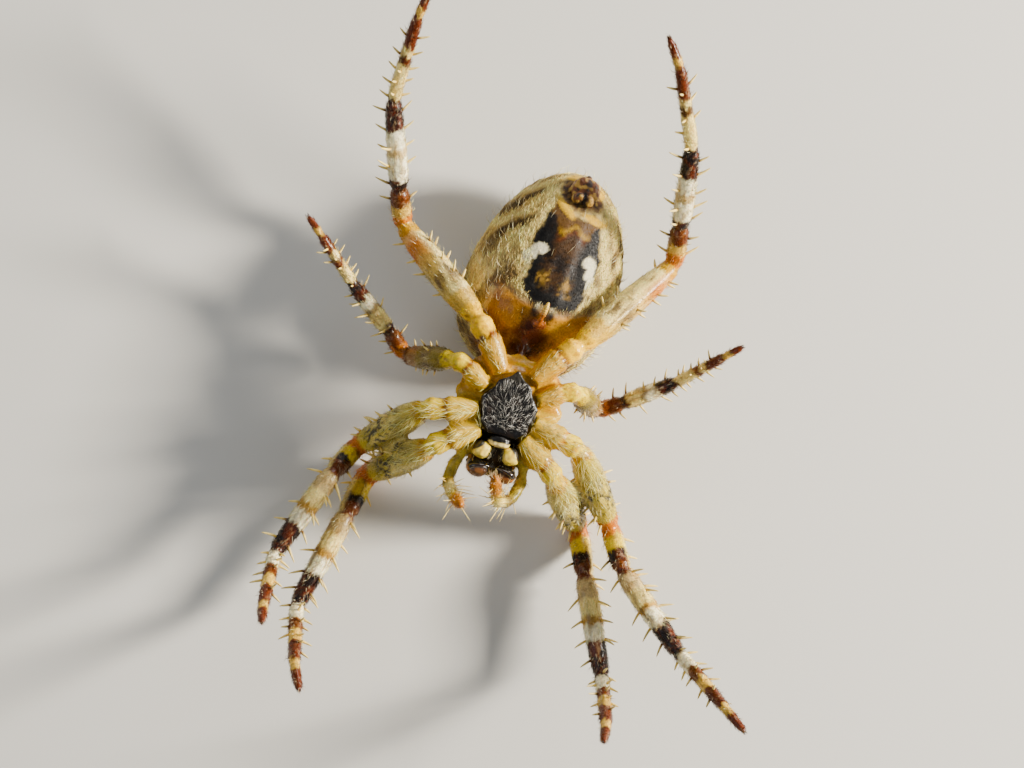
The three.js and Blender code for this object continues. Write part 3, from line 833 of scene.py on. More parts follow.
class AbdomenPlaces:
    """Where points of the abdomen lie in its own frame, and the masks and grain that its markings share."""

    def __init__(self, points):
        self.points = points
        self.local = on_abdomen(points)
        self.across, self.along, self.up = self.local.T
        self.beside = np.abs(self.across)
        self.rough = 0.12 * grain(points, 0.45, 31) + 0.08 * grain(points, 0.2, 32)
        self.fine = grain(points, 0.13, 33)
        self.lengthwise = grain(self.local * [1.0, 0.3, 1.0], 0.16, 37)
        self.under = soft_step(self.up, 0.2, 1.2)
        self.above = soft_step(-self.up, -0.4, 0.4)
        self.half = belly_patch_half(self.across, self.along) + 1.2 * self.rough
        self.patch = self.dark_patch()

    def dark_patch(self):
        """How far each point lies inside the belly's dark patch, from 0 to 1."""
        rear_edge = 3.95 + 0.42 * bump(self.across, -0.9, 0.5) + 0.22 * bump(self.across, 1.0, 0.5)
        patch = soft_step(self.half - self.beside, -0.08, 0.1)
        patch = patch * soft_step(self.along + self.rough, -0.62, -0.4) * self.under
        return patch * soft_step(rear_edge - self.along + 0.6 * self.rough, -0.06, 0.12)


def flank_colours(at):
    """Golden and brown stripes that run forward from the tail and break up towards the front."""
    across, along, up = at.local.T
    fan = np.degrees(np.arctan2(np.hypot(across, 0.75 * (up - 1.2)), 6.5 - along))
    turns = fan / 10.5 + 0.25 * grain(at.points, 1.1, 34) + 0.1 * np.sin(2.6 * along)
    wave = np.sin(2 * math.pi * turns + 0.9)
    tail = soft_step(along, 3.0, 4.2) * soft_step(1.0 - up + 2 * at.rough, 0, 0.8)
    striped = soft_step(along, 0.3, 2.2) * (1 - tail)
    folds = grain(at.local * [0.5, 0.8, 1.5], 0.4, 40) + 0.5 * at.lengthwise
    mottled = (1 - striped) * (1 - tail) * soft_step(at.beside, 1.4, 2.3)
    cloud = soft_step(grain(at.local * [1.4, 0.7, 1], 0.6, 35) + 0.6 * at.lengthwise, -0.3, 0.5)
    return layered(all_over(at.points, "sand"), [
        (0.35 * soft_step(grain(at.points, 0.6, 38), -0.3, 0.5), "tan"),
        (0.5 * striped, "fawn"),
        (0.95 * striped * soft_step(wave + 3 * at.rough + 0.4 * at.lengthwise, 0.0, 0.6), "umber"),
        (0.65 * striped * soft_step(wave + 3 * at.rough, 0.5, 1.0), "bark"),
        (0.6 * striped * soft_step(-wave + 3 * at.rough, 0.2, 0.9), "cream"),
        (0.75 * tail * soft_step(folds, 0.0, 0.5), "umber"),
        (0.5 * tail * soft_step(-folds, 0.1, 0.6), "cream"),
        (0.65 * mottled * cloud, "grey"),
        (0.4 * mottled * soft_step(-at.lengthwise, -0.2, 0.5), "cream"),
    ])


def border_colours(colours, at):
    """The pale border of the dark patch, a painted highlight that makes the right flank paler, and the brown
    flecks outside it.
    """
    border = soft_step(at.beside, at.half - 0.1, at.half + 0.1) * soft_step(at.half + 0.7 - at.beside, 0, 0.5)
    border *= soft_step(at.along, -0.9, -0.3) * soft_step(5.2 - at.along, 0, 0.5) * at.under
    # Painted light: the right flank is made paler, where the light falls on it.
    painted_light_right_flank = soft_step(at.across, 1.6, 2.2) * soft_step(at.along, 0.2, 1.2) * at.under
    colours = layered(colours, [
        (0.85 * border, "cream"),
        (0.3 * border * soft_step(at.lengthwise, 0.0, 0.5), "fawn"),
        (0.6 * painted_light_right_flank * soft_step(-at.lengthwise, -0.6, 0.3), "cream"),
    ])
    colours = spotted(colours, at.local, BROWN_FLECKS, 3 * at.rough, 0.75 * at.under, "umber", 0.7)
    behind = 0.6 * bump(at.along, 4.75, 0.35) * soft_step(1.9 - at.beside, 0, 0.5) * at.under
    return paint(colours, behind, "cream")


def patch_colours(colours, at):
    """The patch: black at its sides, brown with two ochre spots in the middle, then rust and ochre arcs."""
    across, along, rough, fine = at.across, at.along, at.rough, at.fine
    core = soft_step(1.05 - at.beside + 2.5 * rough, 0, 0.7) * soft_step(along, 0.0, 0.6)
    inner = layered(all_over(at.points, "soot"), [
        (0.8 * core, "bark"),
        (0.6 * core * soft_step(fine + grain(at.points, 0.3, 36), -0.1, 0.8), "umber"),
    ])
    inner = spotted(inner, at.local, OCHRE_SPOTS, 3 * rough + 1.2 * fine, 0.8, "ochre", 1.3)
    inner = spotted(inner, at.local, OCHRE_SPOTS, 0.6 + 3 * rough + 1.5 * fine, 0.8, "tan", 1.0)
    rear = along + 0.3 * np.cos(2.2 * across) + 1.6 * rough
    middle = soft_step(0.9 - np.abs(across - 0.1) + 0.5 * soft_step(rear, 3.4, 3.9) + rough, 0, 0.4)
    arcs = rear + 0.3 * np.cos(4.2 * (across - 0.85))
    flecks = 0.5 * soft_step(rear, 2.4, 3.0) * soft_step(fine, -0.1, 0.5)
    inner = layered(inner, [
        (0.45 * soft_step(rear, 2.0, 2.8) * middle, "umber"),
        (0.85 * soft_step(arcs, 3.0, 3.35) * middle, "rust"),
        (0.9 * soft_step(arcs, 3.2, 3.45) * middle, "ochre"),
        (0.6 * bump(arcs, 3.5, 0.1) * middle, "honey"),
        (0.85 * soft_step(arcs, 3.62, 3.8) * middle, "umber"),
        (flecks * soft_step(3.8 - arcs, 0, 0.4), "bark"),
    ])
    colours = paint(colours, at.patch, inner)
    return spotted(colours, at.local, PALE_MARKS, 1.6 * rough, at.under, "ivory", 0.3)


def cone_seat_colours(colours, at):
    """Round the silk cones: russet and bark flecked with fawn, then cream with dark spots and gold arcs."""
    ring = np.hypot(at.across / 1.05, (at.along - 5.05) / 0.85)
    near = soft_step(1.3 - ring + 2 * at.rough, 0, 0.4) * at.under
    colours = layered(colours, [
        (0.8 * near, "cream"),
        (0.5 * near * soft_step(at.fine + 2 * at.rough, 0.0, 0.6), "tan"),
    ])
    colours = spotted(colours, at.local, CONE_SPOTS, 1.5 * at.rough, 0.9 * at.under, "bark", 0.5)
    dusk = soft_step(1.12 - ring + 1.5 * at.rough, 0, 0.3) * at.under
    colours = layered(colours, [
        (0.85 * dusk, "russet"),
        (0.8 * dusk * soft_step(at.fine - 0.3 * at.across, 0.0, 0.5), "bark"),
        (0.8 * dusk * soft_step(at.lengthwise - at.fine, 0.35, 0.7), "fawn"),
        (0.6 * near * bump(at.along, 4.55, 0.16) * soft_step(0.5 - np.abs(at.across - 0.1), 0, 0.2), "bark"),
    ])
    return spotted(colours, at.local, GOLD_SCALLOPS, 1.5 * at.rough, 0.95 * at.under, "yolk", 0.4)


def front_colours(colours, at):
    """In front of the fold: smooth amber and garnet, paler lung covers, and the hollow by the egg plate; the
    garnet grows to the left as painted shade, the lung covers grow paler to the right as painted light, the
    hollow is darkened as painted shade, and two ivory flecks by the egg plate are painted glints.
    """
    across, along, up = at.local.T
    front = soft_step(furrow_line(across) - along + 0.5 * at.rough, -0.05, 0.15) * soft_step(up, -0.6, 0.8)
    front *= soft_step(2.6 - at.beside + 2 * at.rough, 0, 0.6)
    middle = np.hypot(across / 1.15, (along + 2.2) / 1.4) + 1.5 * at.rough
    lung = np.hypot((at.beside - LUNG_OUT) / 0.75, (along + 1.35) / 0.6)
    # Painted light: the lung covers grow paler to the right, the side the light falls on.
    painted_light_rightward = soft_step(across, -1.2, 1.2)
    fold = bump(along - furrow_line(across), 0.05, 0.12)
    fold = fold * soft_step(2.3 - at.beside, 0, 0.5) * soft_step(up, 0.4, 1.0)
    pits = bump(at.beside, 0.42, 0.14) * bump(along, -0.72, 0.16) * at.under
    # Painted shade: the hollow beside the egg plate is darkened to bark-brown.
    hollow = bump(at.beside, 0.3, 0.3) * bump(along, -0.85, 0.24) * at.under
    # Painted glints: two ivory flecks beside the egg plate's tip stand for small highlights.
    flecks = bump(at.beside, 0.34, 0.08) * bump(along, -0.5, 0.09) * at.under
    waist = soft_step(-along, 2.9, 3.3) * soft_step(1.0 - np.hypot(across, up - 1.6), 0, 0.3)
    return layered(colours, [
        (front, "amber"),
        # Painted shade: the garnet clouds grow to the left, the side away from the light.
        (0.6 * front * soft_step(grain(at.points, 0.5, 39) - 0.25 * across, -0.3, 0.7), "garnet"),
        (0.95 * front * soft_step(1.3 - middle, 0, 0.8), "garnet"),
        ((0.15 + 0.4 * painted_light_rightward) * front * soft_step(1.2 - lung + at.rough, 0, 0.6), "honey"),
        (0.6 * fold * soft_step(at.beside, 0.5, 0.9), "pebble"),
        (1.4 * pits, "soot"),
        (np.minimum(1.2 * hollow, 0.9), "bark"),
        (1.3 * flecks, "ivory"),
        (waist, "rust"),
    ])


def back_colours(colours, at):
    """A brown leaf with a wavy, pale-edged outline and a cross of white spots, and clouded shoulders."""
    shoulder = soft_step(-at.along, 0.2, 2.0) * soft_step(0.9 - at.up, 0, 0.8)
    clouds = soft_step(grain(at.points, 0.5, 42) + 0.5 * at.lengthwise, -0.4, 0.4)
    half = np.interp(at.along, [-3.5, -1.5, 0.5, 3.0, 5.6], [1.6, 2.7, 2.35, 1.75, 0.7])
    half = half + 0.14 * np.sin(5.2 * at.along) + 0.3 * grain(at.points, 0.9, 41) + 0.5 * at.rough
    leaf = soft_step(half - at.beside, -0.1, 0.16) * at.above
    colours = layered(colours, [
        (0.7 * shoulder * clouds, "umber"),
        (0.85 * leaf, "umber"),
        (0.5 * leaf * soft_step(at.beside, half - 0.5, half - 0.1), "bark"),
        (0.9 * at.above * bump(at.beside, half + 0.09, 0.08), "cream"),
        (0.5 * leaf * soft_step(at.fine, 0.1, 0.6), "tan"),
    ])
    mirrored = np.column_stack([at.beside, at.along, at.up])
    return spotted(colours, mirrored, CROSS, 1.2 * at.rough, at.above, "ivory", 0.35)


def abdomen_colours(points):
    """The belly's dark patch with its marks, striped flanks, and the leaf and white cross of the back."""
    at = AbdomenPlaces(points)
    colours = flank_colours(at)
    for add_colours in (border_colours, patch_colours, cone_seat_colours, front_colours, back_colours):
        colours = add_colours(colours, at)
    return paint(colours, 0.22 * soft_step(at.fine, 0.35, 0.8) * (1 - at.patch), "umber")


def skin_gloss(skin):
    """How glossy the skin is: dull under the fur, polished on the hips, before the fold and on the patch."""
    gloss = np.full(len(skin.points), 0.75)
    for leg in LEGS:
        gloss[skin.of(leg)] = 0.85 + 0.15 * soft_step(1.2 - skin.places[leg].mark, 0, 0.2)
    rows, across, along, up = skin.abdomen()
    bare = soft_step(furrow_line(across) - along, 0, 0.3) * soft_step(up, -0.2, 0.8)
    patch = soft_step(belly_patch_half(across, along) - np.abs(across), 0, 0.2) * soft_step(up, 0.6, 1.4)
    patch *= soft_step(along, -0.6, -0.2) * soft_step(3.9 - along, 0, 0.3) * soft_step(0.9 - across, 0, 0.9)
    gloss[rows] = np.maximum(0.85 * bare, 0.65 * patch)
    return gloss


def under_fur(skin, colours):
    """The same markings, a shade deeper under the abdomen's fur, so that the hairs stand apart."""
    rows, across, along, up = skin.abdomen()
    furred = 1 - soft_step(furrow_line(across) - along, 0, 0.2) * soft_step(up, 0.0, 0.8)
    depth = np.ones(len(colours))
    depth[rows] = 1 - 0.35 * furred
    return colours * depth[:, None]


def skin_colours(skin):
    """The markings of the whole skin, with painted shade that darkens the throat between the jaws."""
    colours = np.zeros((len(skin.points), 3))
    for name in REGIONS:
        rows = skin.of(name)
        points = skin.points[rows]
        if name == "abdomen":
            colours[rows] = abdomen_colours(points)
        elif name == "carapace":
            colours[rows] = carapace_colours(points)
        elif name in PALPS:
            colours[rows] = palp_colours(skin.places[name], points)
        else:
            colours[rows] = leg_colours(name, skin.places[name], points)
    x, y, z = skin.points.T
    # Painted shade: the throat between the mouth parts is darkened to black, where shade falls between them.
    throat = soft_step(-y, 1.28, 1.44) * soft_step(1.0 - np.abs(x), 0, 0.15) * soft_step(z, -1.7, -1.4)
    for palp in PALPS:
        throat[skin.of(palp)] = 0
    return paint(colours, 0.95 * throat, "soot")


# ---- Where each point of the skin lies on its unwrap ----

LIMB_STRIP = 0.05  # the height of a limb's strip; its length is the limb's
# The discs that hold the belly's and the back's half of each large form: their left edges and width.
DISCS = {"abdomen": (0.01, 0.5, 0.46), "carapace": (0.47, 0.965, 0.03)}
DISC_LOW = 0.52


def strip_places(name, place, turn):
    """A limb unrolled from base to tip."""
    low = 0.01 + LIMB_STRIP * LIMBS.index(name)
    share = place.run / place.line_run[-1]
    return np.column_stack([0.02 + 0.95 * share, low + 0.04 * (turn / (2 * math.pi) + 0.5)])


def disc_places(ways, side, left, width):
    """Half of a rounded body flattened to a disc, from the directions out of its middle."""
    depth = np.arccos(np.clip(ways[:, 2] * side, -1, 1)) / math.pi
    flat = unit(ways[:, :2] + 1e-9)
    return np.array([left + width / 2, DISC_LOW + width / 2]) + flat * depth[:, None] * 0.9 * width


def on_belly_side(region, points):
    """Which points of the abdomen or the shield lie on the belly's side of its middle."""
    return on_abdomen(points)[:, 2] > 0 if region == "abdomen" else points[:, 2] > SHIELD["middle"][2]


def body_places(region, points, belly):
    """The abdomen or the shield, its belly and back halves each flattened to a disc."""
    if region == "abdomen":
        ways = unit(on_abdomen(points) / np.array(ABDOMEN["halves"]))
    else:
        ways = unit((points - np.array(SHIELD["middle"])) / np.array(SHIELD["halves"]))
    belly_left, back_left, width = DISCS[region]
    return np.where(
        belly[:, None], disc_places(ways, 1, belly_left, width), disc_places(ways, -1, back_left, width))


def unwrap_corners(skin):
    """The place of every face corner, with each face kept whole on one island."""
    corners = skin.faces
    places = np.zeros((*corners.shape, 2))
    owner = skin.region[corners[:, 0]]
    for number, name in enumerate(REGIONS):
        rows = np.flatnonzero(owner == number)
        flat = skin.points[corners[rows]].reshape(-1, 3)
        if name in LIMBS:
            place = LimbPlaces(*skin.lines[name], flat)
            turn = place.turn.reshape(-1, 4)
            turn += 2 * math.pi * np.round((turn[:, :1] - turn) / (2 * math.pi))
            found = strip_places(name, place, turn.ravel())
        else:
            belly = on_belly_side(name, skin.points[corners[rows]].mean(1))
            found = body_places(name, flat, np.repeat(belly, 4))
        places[rows] = found.reshape(-1, 4, 2)
    return np.clip(places.reshape(-1, 2), 0, 1)


def root_places(skin, rows, roots):
    """The unwrap's place of each hair root, whose nearest skin points are rows."""
    places = np.zeros((len(roots), 2))
    for number, name in enumerate(REGIONS):
        mine = np.flatnonzero(skin.region[rows] == number)
        points = roots[mine]
        if name in LIMBS:
            place = LimbPlaces(*skin.lines[name], points)
            places[mine] = strip_places(name, place, place.turn)
        elif len(mine):
            places[mine] = body_places(name, points, on_belly_side(name, points))
    return np.clip(places, 0.002, 0.998)


# ---- Hair ----

# A real hair is a few thousandths of a millimetre thick, too fine to show, so each is drawn several
# times thicker than that, and there are fewer of them.
HAIR_RADIUS = {"fur": 0.01, "leg": 0.009, "bristle": 0.012, "jaw": 0.008, "mouth": 0.01}
HAIRS_PER_MM2 = {"abdomen": 165, "shield": 110, "head": 12, "palp": 60, "leg": 125, "hip": 20}
HAIRS_ON_PLATE = {"breastplate": 470, "mouth": 70, "jaw": 150}
# Bristles: the most to a square millimetre, their length, and how far they rise in degrees.
BRISTLES = {"abdomen": (5.5, 0.62, 58), "shield": (5, 0.4, 50), "leg": (9, 0.34, 48), "palp": (26, 0.45, 48)}
PALP_BASE_BRISTLES = 3  # to a square millimetre all along a feeler; its tip has the rest
# Hair of the hips: the most to a square millimetre, its length, and the mark on the leg that it reaches.
HIP_HAIR = {"front": (48, 1.0, 1.4), "others": (60, 0.4, 0.62)}
ROOT_DEPTH = 0.02  # how deep a hair starts in the skin
TUFT_PATCH = 0.003  # the width of a hair's patch on the unwrap
# One hair: a ring of three points at its root, one half way up and its tip.
HAIR_FACES = np.array([
    (0, 2, 1),
    (0, 1, 4), (0, 4, 3), (1, 2, 5), (1, 5, 4), (2, 0, 3), (2, 3, 5),
    (3, 4, 6), (4, 5, 6), (5, 3, 6),
])
# Where a hair's points lie on its patch, in widths of the patch.
HAIR_PATCH = np.array([(-0.5, -0.5), (0, -0.4), (0.5, -0.5), (-0.4, 0.1), (0, 0.2), (0.4, 0.1), (0, 0.5)])
HAIR_POINTS = len(HAIR_PATCH)


def hair_meshes(roots, normals, ways, lengths, radii, lifts):
    """Solid hairs of three sides, each rising by its lift and bending back to its lie."""
    side = np.cross(ways, normals)
    up = np.sin(lifts)[:, None] * normals + np.cos(lifts)[:, None] * ways
    over = np.sin(0.35 * lifts)[:, None] * normals + np.cos(0.35 * lifts)[:, None] * ways
    half = 0.5 * lengths[:, None]
    middle = roots + half * up
    rings = []
    for centre, way, share in ((roots - ROOT_DEPTH * normals, up, 1.0), (middle, unit(up + over), 0.72)):
        third = np.cross(side, way)
        for turn in (0, 2 * math.pi / 3, 4 * math.pi / 3):
            rings.append(centre + share * radii[:, None] * (math.cos(turn) * side + math.sin(turn) * third))
    rings.append(middle + half * over)
    points = np.stack(rings, axis=1)
    points[..., 2] = np.maximum(points[..., 2], FLOOR + CLEARANCE["hair"])
    count = len(roots)
    faces = (HAIR_FACES[None] + HAIR_POINTS * np.arange(count)[:, None, None]).reshape(-1, 3)
    return points.reshape(-1, 3), faces


def hair_piece(name, roots, normals, ways, lengths, radii, lifts, colours, places, material):
    """Hairs as one piece, each with one colour and a small patch on the unwrap at its root's place."""
    points, faces = hair_meshes(roots, normals, ways, lengths, radii, lifts)
    patches = (places[:, None] + TUFT_PATCH * HAIR_PATCH[None]).reshape(-1, 2)
    tones = np.repeat(colours, HAIR_POINTS, axis=0)
    new_piece(name, points, faces, material, colours=tones, corner_uv=patches[faces.ravel()])


def turned(ways, normals, angles):
    """Directions in the skin turned about its normals."""
    return np.cos(angles)[:, None] * ways + np.sin(angles)[:, None] * np.cross(normals, ways)


class Follicles:
    """Random places on the skin for hairs to grow from."""

    def __init__(self, skin):
        self.skin = skin
        quads = skin.faces
        self.triangles = np.vstack([quads[:, [0, 1, 2]], quads[:, [0, 2, 3]]])
        a, b, c = (skin.points[self.triangles[:, corner]] for corner in range(3))
        self.areas = np.linalg.norm(np.cross(b - a, c - a), axis=1) / 2

    def pick(self, density):
        """Roots, normals and nearest skin points, density hairs to a square millimetre at each point."""
        wanted = self.areas * density[self.triangles].mean(1)
        chosen = RANDOM.choice(len(wanted), int(wanted.sum()), p=wanted / wanted.sum())
        corners = self.triangles[chosen]
        mix = RANDOM.dirichlet((1, 1, 1), len(chosen))
        roots = (self.skin.points[corners] * mix[..., None]).sum(1)
        normals = unit((self.skin.normals[corners] * mix[..., None]).sum(1))
        return roots, normals, corners[np.arange(len(corners)), mix.argmax(1)]

    def grow(self, name, density, length, radius, lift, stray, material, tones):
        """One piece of coat. density and tones are per skin point, and length and lift may be.

        lift is how far the hairs rise from the skin and stray how far they turn in it, in degrees."""
        roots, normals, rows = self.pick(density)
        count = len(roots)
        length, lift = (np.broadcast_to(value, len(self.skin.points))[rows] for value in (length, lift))
        lie = self.skin.lie[rows]
        ways = turned(square_to(lie, normals), normals, np.radians(stray) * RANDOM.standard_normal(count))
        lengths = length * RANDOM.uniform(0.65, 1.25, count)
        lifts = np.radians(lift) * RANDOM.uniform(0.5, 1.5, count)
        radii = radius * RANDOM.uniform(0.8, 1.2, count)
        tones = np.clip(tones[rows] * RANDOM.uniform(0.55, 1.7, (count, 1)), 0, 0.9)
        places = root_places(self.skin, rows, roots)
        hair_piece(name, roots, normals, ways, lengths, radii, lifts, tones, places, material)


def lie_of_coat(skin):
    """Which way the hair lies: to the tips of the limbs, to the tail and forward over the shield."""
    lie = np.tile([0.0, -1.0, 0.0], (len(skin.points), 1))
    rows = skin.of("abdomen")
    lie[rows] = np.array([0.0, 1.0, 0.0]) @ ABDOMEN_TURN.T
    for name in LIMBS:
        rows = skin.of(name)
        lie[rows] = skin.places[name].along_way
    return lie


def coat_tones(colours):
    """The hair's colours: the skin's own markings, paler, and nearly white on the pale places."""
    pale = soft_step(colours.min(1), 0.01, 0.3)
    return paint(colours, 0.004 + 0.45 * pale, "cream")


def grow_coat(skin, follicles, colours, material):
    """The fur of the abdomen, the shield and feelers, and the legs, in pieces."""
    tones = coat_tones(colours)
    count = len(skin.points)

    rows, across, along, up = skin.abdomen()
    beside = np.abs(across)
    patch = soft_step(belly_patch_half(across, along) - beside, 0, 0.15) * soft_step(up, 0.4, 1.2)
    patch *= soft_step(along, -0.6, -0.3)
    bare = soft_step(furrow_line(across) - along, 0, 0.2)
    bare = bare * soft_step(up, 0.0, 0.8) * soft_step(2.6 - beside, 0, 0.4)
    ring = soft_step(1.3 - np.hypot(across / 0.95, (along - 5.15) / 0.85), 0, 0.2) * soft_step(up, 0.2, 0.6)
    whitish = 0.08 + 0.36 * soft_step(colours[rows].min(1), 0.01, 0.2)
    tones[rows] = paint(tones[rows], whitish * (1 - patch), "cream")
    cover = (1 - 0.88 * patch) * (1 - 0.93 * bare) * (1 - 0.85 * ring)
    for half, belly in (("belly", True), ("back", False)):
        density, length = np.zeros(count), np.zeros(count)
        density[rows] = HAIRS_PER_MM2["abdomen"] * cover * ((up > 0) == belly)
        length[rows] = 0.27 * (1 - 0.4 * patch)
        name = f"coat_abdomen_{half}"
        follicles.grow(name, density, length, HAIR_RADIUS["fur"], 13, 14, material, tones)

    shield = skin.of("carapace")
    tones[shield] = paint(tones[shield], np.full(len(shield), 0.4), "ivory")
    density = np.zeros(count)
    above = soft_step(-skin.points[shield, 2], 1.3, 1.6)
    density[shield] = HAIRS_PER_MM2["shield"] * above + HAIRS_PER_MM2["head"]
    for palp in PALPS:
        density[skin.of(palp)] = HAIRS_PER_MM2["palp"]
    follicles.grow("coat_shield", density, 0.2, HAIR_RADIUS["fur"], 20, 22, material, tones)

    for number in (1, 2, 3, 4):
        density, length, lift = np.zeros(count), np.full(count, 0.17), np.full(count, 18.0)
        for side in SIDES:
            leg = f"leg_{number}_{side}"
            rows = skin.of(leg)
            place = skin.places[leg]
            hip = soft_step(1.0 - place.mark, 0, 0.06)
            density[rows] = HAIRS_PER_MM2["leg"] - (HAIRS_PER_MM2["leg"] - HAIRS_PER_MM2["hip"]) * hip
            length[rows] = 0.16 + 0.05 * soft_step(place.mark, 3.0, 3.2)
            lift[rows] = 15 + 5 * soft_step(place.mark, 2.0, 2.2)
        name = f"coat_legs_{number}"
        follicles.grow(name, density, length, HAIR_RADIUS["leg"], lift, 13, material, tones)


def grow_bristles(skin, follicles, colours, material):
    """Longer hairs that stand out from the coat, paler than the skin that they grow from."""
    count = len(skin.points)
    density, length, lift = np.zeros((3, count))
    rows, across, _, up = skin.abdomen()
    bare = soft_step(up, 0.6, 1.4) * soft_step(2.2 - np.abs(across), 0, 0.4)
    most, length[rows], lift[rows] = BRISTLES["abdomen"]
    density[rows] = most * (1 - 0.9 * bare)
    rows = skin.of("carapace")
    most, length[rows], lift[rows] = BRISTLES["shield"]
    density[rows] = most * soft_step(-skin.points[rows, 1], 0.5, 2)
    for leg in LEGS:
        rows = skin.of(leg)
        most, length[rows], lift[rows] = BRISTLES["leg"]
        density[rows] = most * soft_step(skin.places[leg].mark, 1.2, 1.3)
    for palp in PALPS:
        rows = skin.of(palp)
        most, length[rows], lift[rows] = BRISTLES["palp"]
        density[rows] = PALP_BASE_BRISTLES + most * soft_step(skin.places[palp].mark, 0.5, 0.62)
    tones = paint(coat_tones(colours), np.full(count, 0.4), "ivory")
    follicles.grow("bristles", density, length, HAIR_RADIUS["bristle"], lift, 18, material, tones)


def grow_hip_hair(skin, follicles, material):
    """Pale hairs under each hip, long and loose on the front two pairs, and along the belly's fold."""
    count = len(skin.points)
    density, length = np.zeros(count), np.full(count, 0.5)
    for leg in LEGS:
        rows = skin.of(leg)
        place = skin.places[leg]
        pad = soft_step(0.8 - np.abs(np.sin(place.turn)), 0, 0.3) * soft_step(-np.cos(place.turn), 0.0, 0.3)
        most, length[rows], reach = HIP_HAIR["front" if limb_kind(leg) == "front" else "others"]
        density[rows] = most * soft_step(reach - place.mark, 0, 0.12) * pad
    rows, across, along, up = skin.abdomen()
    fold = bump(along - furrow_line(across), 0.08, 0.08) * soft_step(up, 0.8, 1.6)
    fold *= soft_step(np.abs(across), 0.4, 0.6)
    density[rows] = 70 * fold * soft_step(2.4 - np.abs(across), 0, 0.3)
    length[rows] = 0.24
    tones = all_over(skin.points, "cream")
    follicles.grow("hip_hair", density, length, HAIR_RADIUS["leg"], 14, 26, material, tones)


# ---- Spines and claws ----

# Rows of spines: the marks they stand at, the turns round the leg from its back, and their length.
SPINE_ROWS = [
    ([1.38, 1.55, 1.72, 1.88], [-85, 85, -125], 0.46),
    ([2.3, 2.75], [-82, 82], 0.6),
    ([3.1, 3.28, 3.48, 3.68, 3.88], [-82, 82, 130], 0.64),
    ([4.05, 4.16, 4.28, 4.42, 4.56], [-82, 82, 155], 0.5),
]
PALP_SPINES = ([0.47, 0.54, 0.6, 0.66, 0.72, 0.88], [-140, -70, 0, 70, 140], 0.9)
SPINE_SHARES = np.array([0, 0.12, 0.4, 0.7, 0.92, 1.0])
SPINE_RADII = np.array([0.056, 0.066, 0.06, 0.046, 0.026, 0.006])
SPINE_SIDES = 7


def spine(limb_line, points, mark, turn, tall, stout, lean):
    """One spine's mesh on a limb, with the nearest skin point, or nothing where the floor is in its way."""
    line, marks, _ = limb_line
    step = int(np.interp(mark, marks, np.arange(len(line))))
    along = unit(line[min(step + 1, len(line) - 1)] - line[step - 1])
    back = square_to(TO_BACK, along)
    out = math.cos(turn) * back + math.sin(turn) * np.cross(along, back)
    nearest = np.argmin(np.linalg.norm(points - (line[step] + 0.4 * out), axis=1))
    way = unit(math.cos(lean) * out + math.sin(lean) * along)
    path = points[nearest] + (tall * SPINE_SHARES)[:, None] * way
    path += (0.12 * tall * SPINE_SHARES ** 2)[:, None] * along
    path[0] -= 0.06 * out
    if path[:, 2].min() < FLOOR + CLEARANCE["spine"]:
        return None, nearest
    return tapered_tube(path, SPINE_RADII * stout, SPINE_SIDES), nearest


def limb_spines(skin, markings, material):
    """Stout pale spines that stand out from the legs, and slim ones round the ends of the feelers."""
    meshes, tones, places = [], [], []
    for limb in LIMBS:
        is_palp = limb in PALPS
        rows = skin.of(limb)
        points = skin.points[rows]
        size = 0.8 if is_palp or limb_kind(limb) == "third" else 1.0
        stout = 0.33 if is_palp else size
        for row_marks, turns, length in ([PALP_SPINES] if is_palp else SPINE_ROWS):
            for mark, turn in itertools.product(row_marks, turns):
                mark += RANDOM.uniform(-0.03, 0.03)
                turn = math.radians(turn + RANDOM.uniform(-16, 16))
                tall = length * size * RANDOM.uniform(0.75, 1.2)
                lean = math.radians(RANDOM.uniform(12, 34))
                if RANDOM.random() < 0.2:
                    continue
                mesh, nearest = spine(skin.lines[limb], points, mark, turn, tall, stout, lean)
                if mesh is None:
                    continue
                meshes.append(mesh)
                shade = np.append(np.repeat(SPINE_SHARES, SPINE_SIDES), [0, 1])
                base = INK["rust"] if markings[rows[nearest]].mean() < 0.12 else INK["fawn"]
                tones.append(base + (INK["cream"] - base) * 0.85 * soft_step(shade, 0.0, 0.4)[:, None])
                root = points[nearest][None]
                places.append(np.tile(root_places(skin, rows[[nearest]], root), (len(mesh[0]), 1)))
    joined_piece("spines", meshes, material, np.vstack(tones), np.vstack(places))


# Each foot's claws: how far to the side, and how long.
CLAWS = ((-0.06, 0.24), (0.06, 0.24), (0, 0.16))
CLAW_STEPS = 6


def foot_claws(skin, material):
    """Three small hooked claws at each foot."""
    meshes = []
    for leg in LEGS:
        line = skin.lines[leg][0]
        along = unit(line[-1] - line[-6])
        back = square_to(TO_BACK, along)
        side = np.cross(along, back)
        for across, length in CLAWS:
            turns = np.linspace(0, 1.35, CLAW_STEPS)
            start = line[-1] - 0.12 * along + across * side
            claw = start + length * (np.sin(turns)[:, None] * along - (1 - np.cos(turns))[:, None] * back)
            meshes.append(tapered_tube(claw, np.linspace(0.034, 0.006, CLAW_STEPS), 8))
    joined_piece("claws", meshes, material)


# ---- Plates, jaws, eyes and silk cones ----

PLATE_VOXEL = 0.035
HIP_KNOBS = [(0.82, -1.2), (0.98, -0.55), (0.9, 0.25), (0.55, 0.98)]  # on the breastplate: out and back


def plate(node, relief, colouring, material, rounds=4, tail=0.0):
    """A smooth plate or cone made from its CAD node, with its relief and its colours.

    tail is the share by which it narrows to its rear end."""
    points, faces, _ = remeshed([node_mesh(node)], PLATE_VOXEL, rounds)
    points[:, 0] *= 1 - tail * soft_step(points[:, 1], 0.5, 1.45)
    normals = point_normals(points, faces)
    points = points + relief(points, normals)[:, None] * normals
    new_piece(f"{node}_plate", points, faces, material, (node,), colouring(points))
    return points, faces


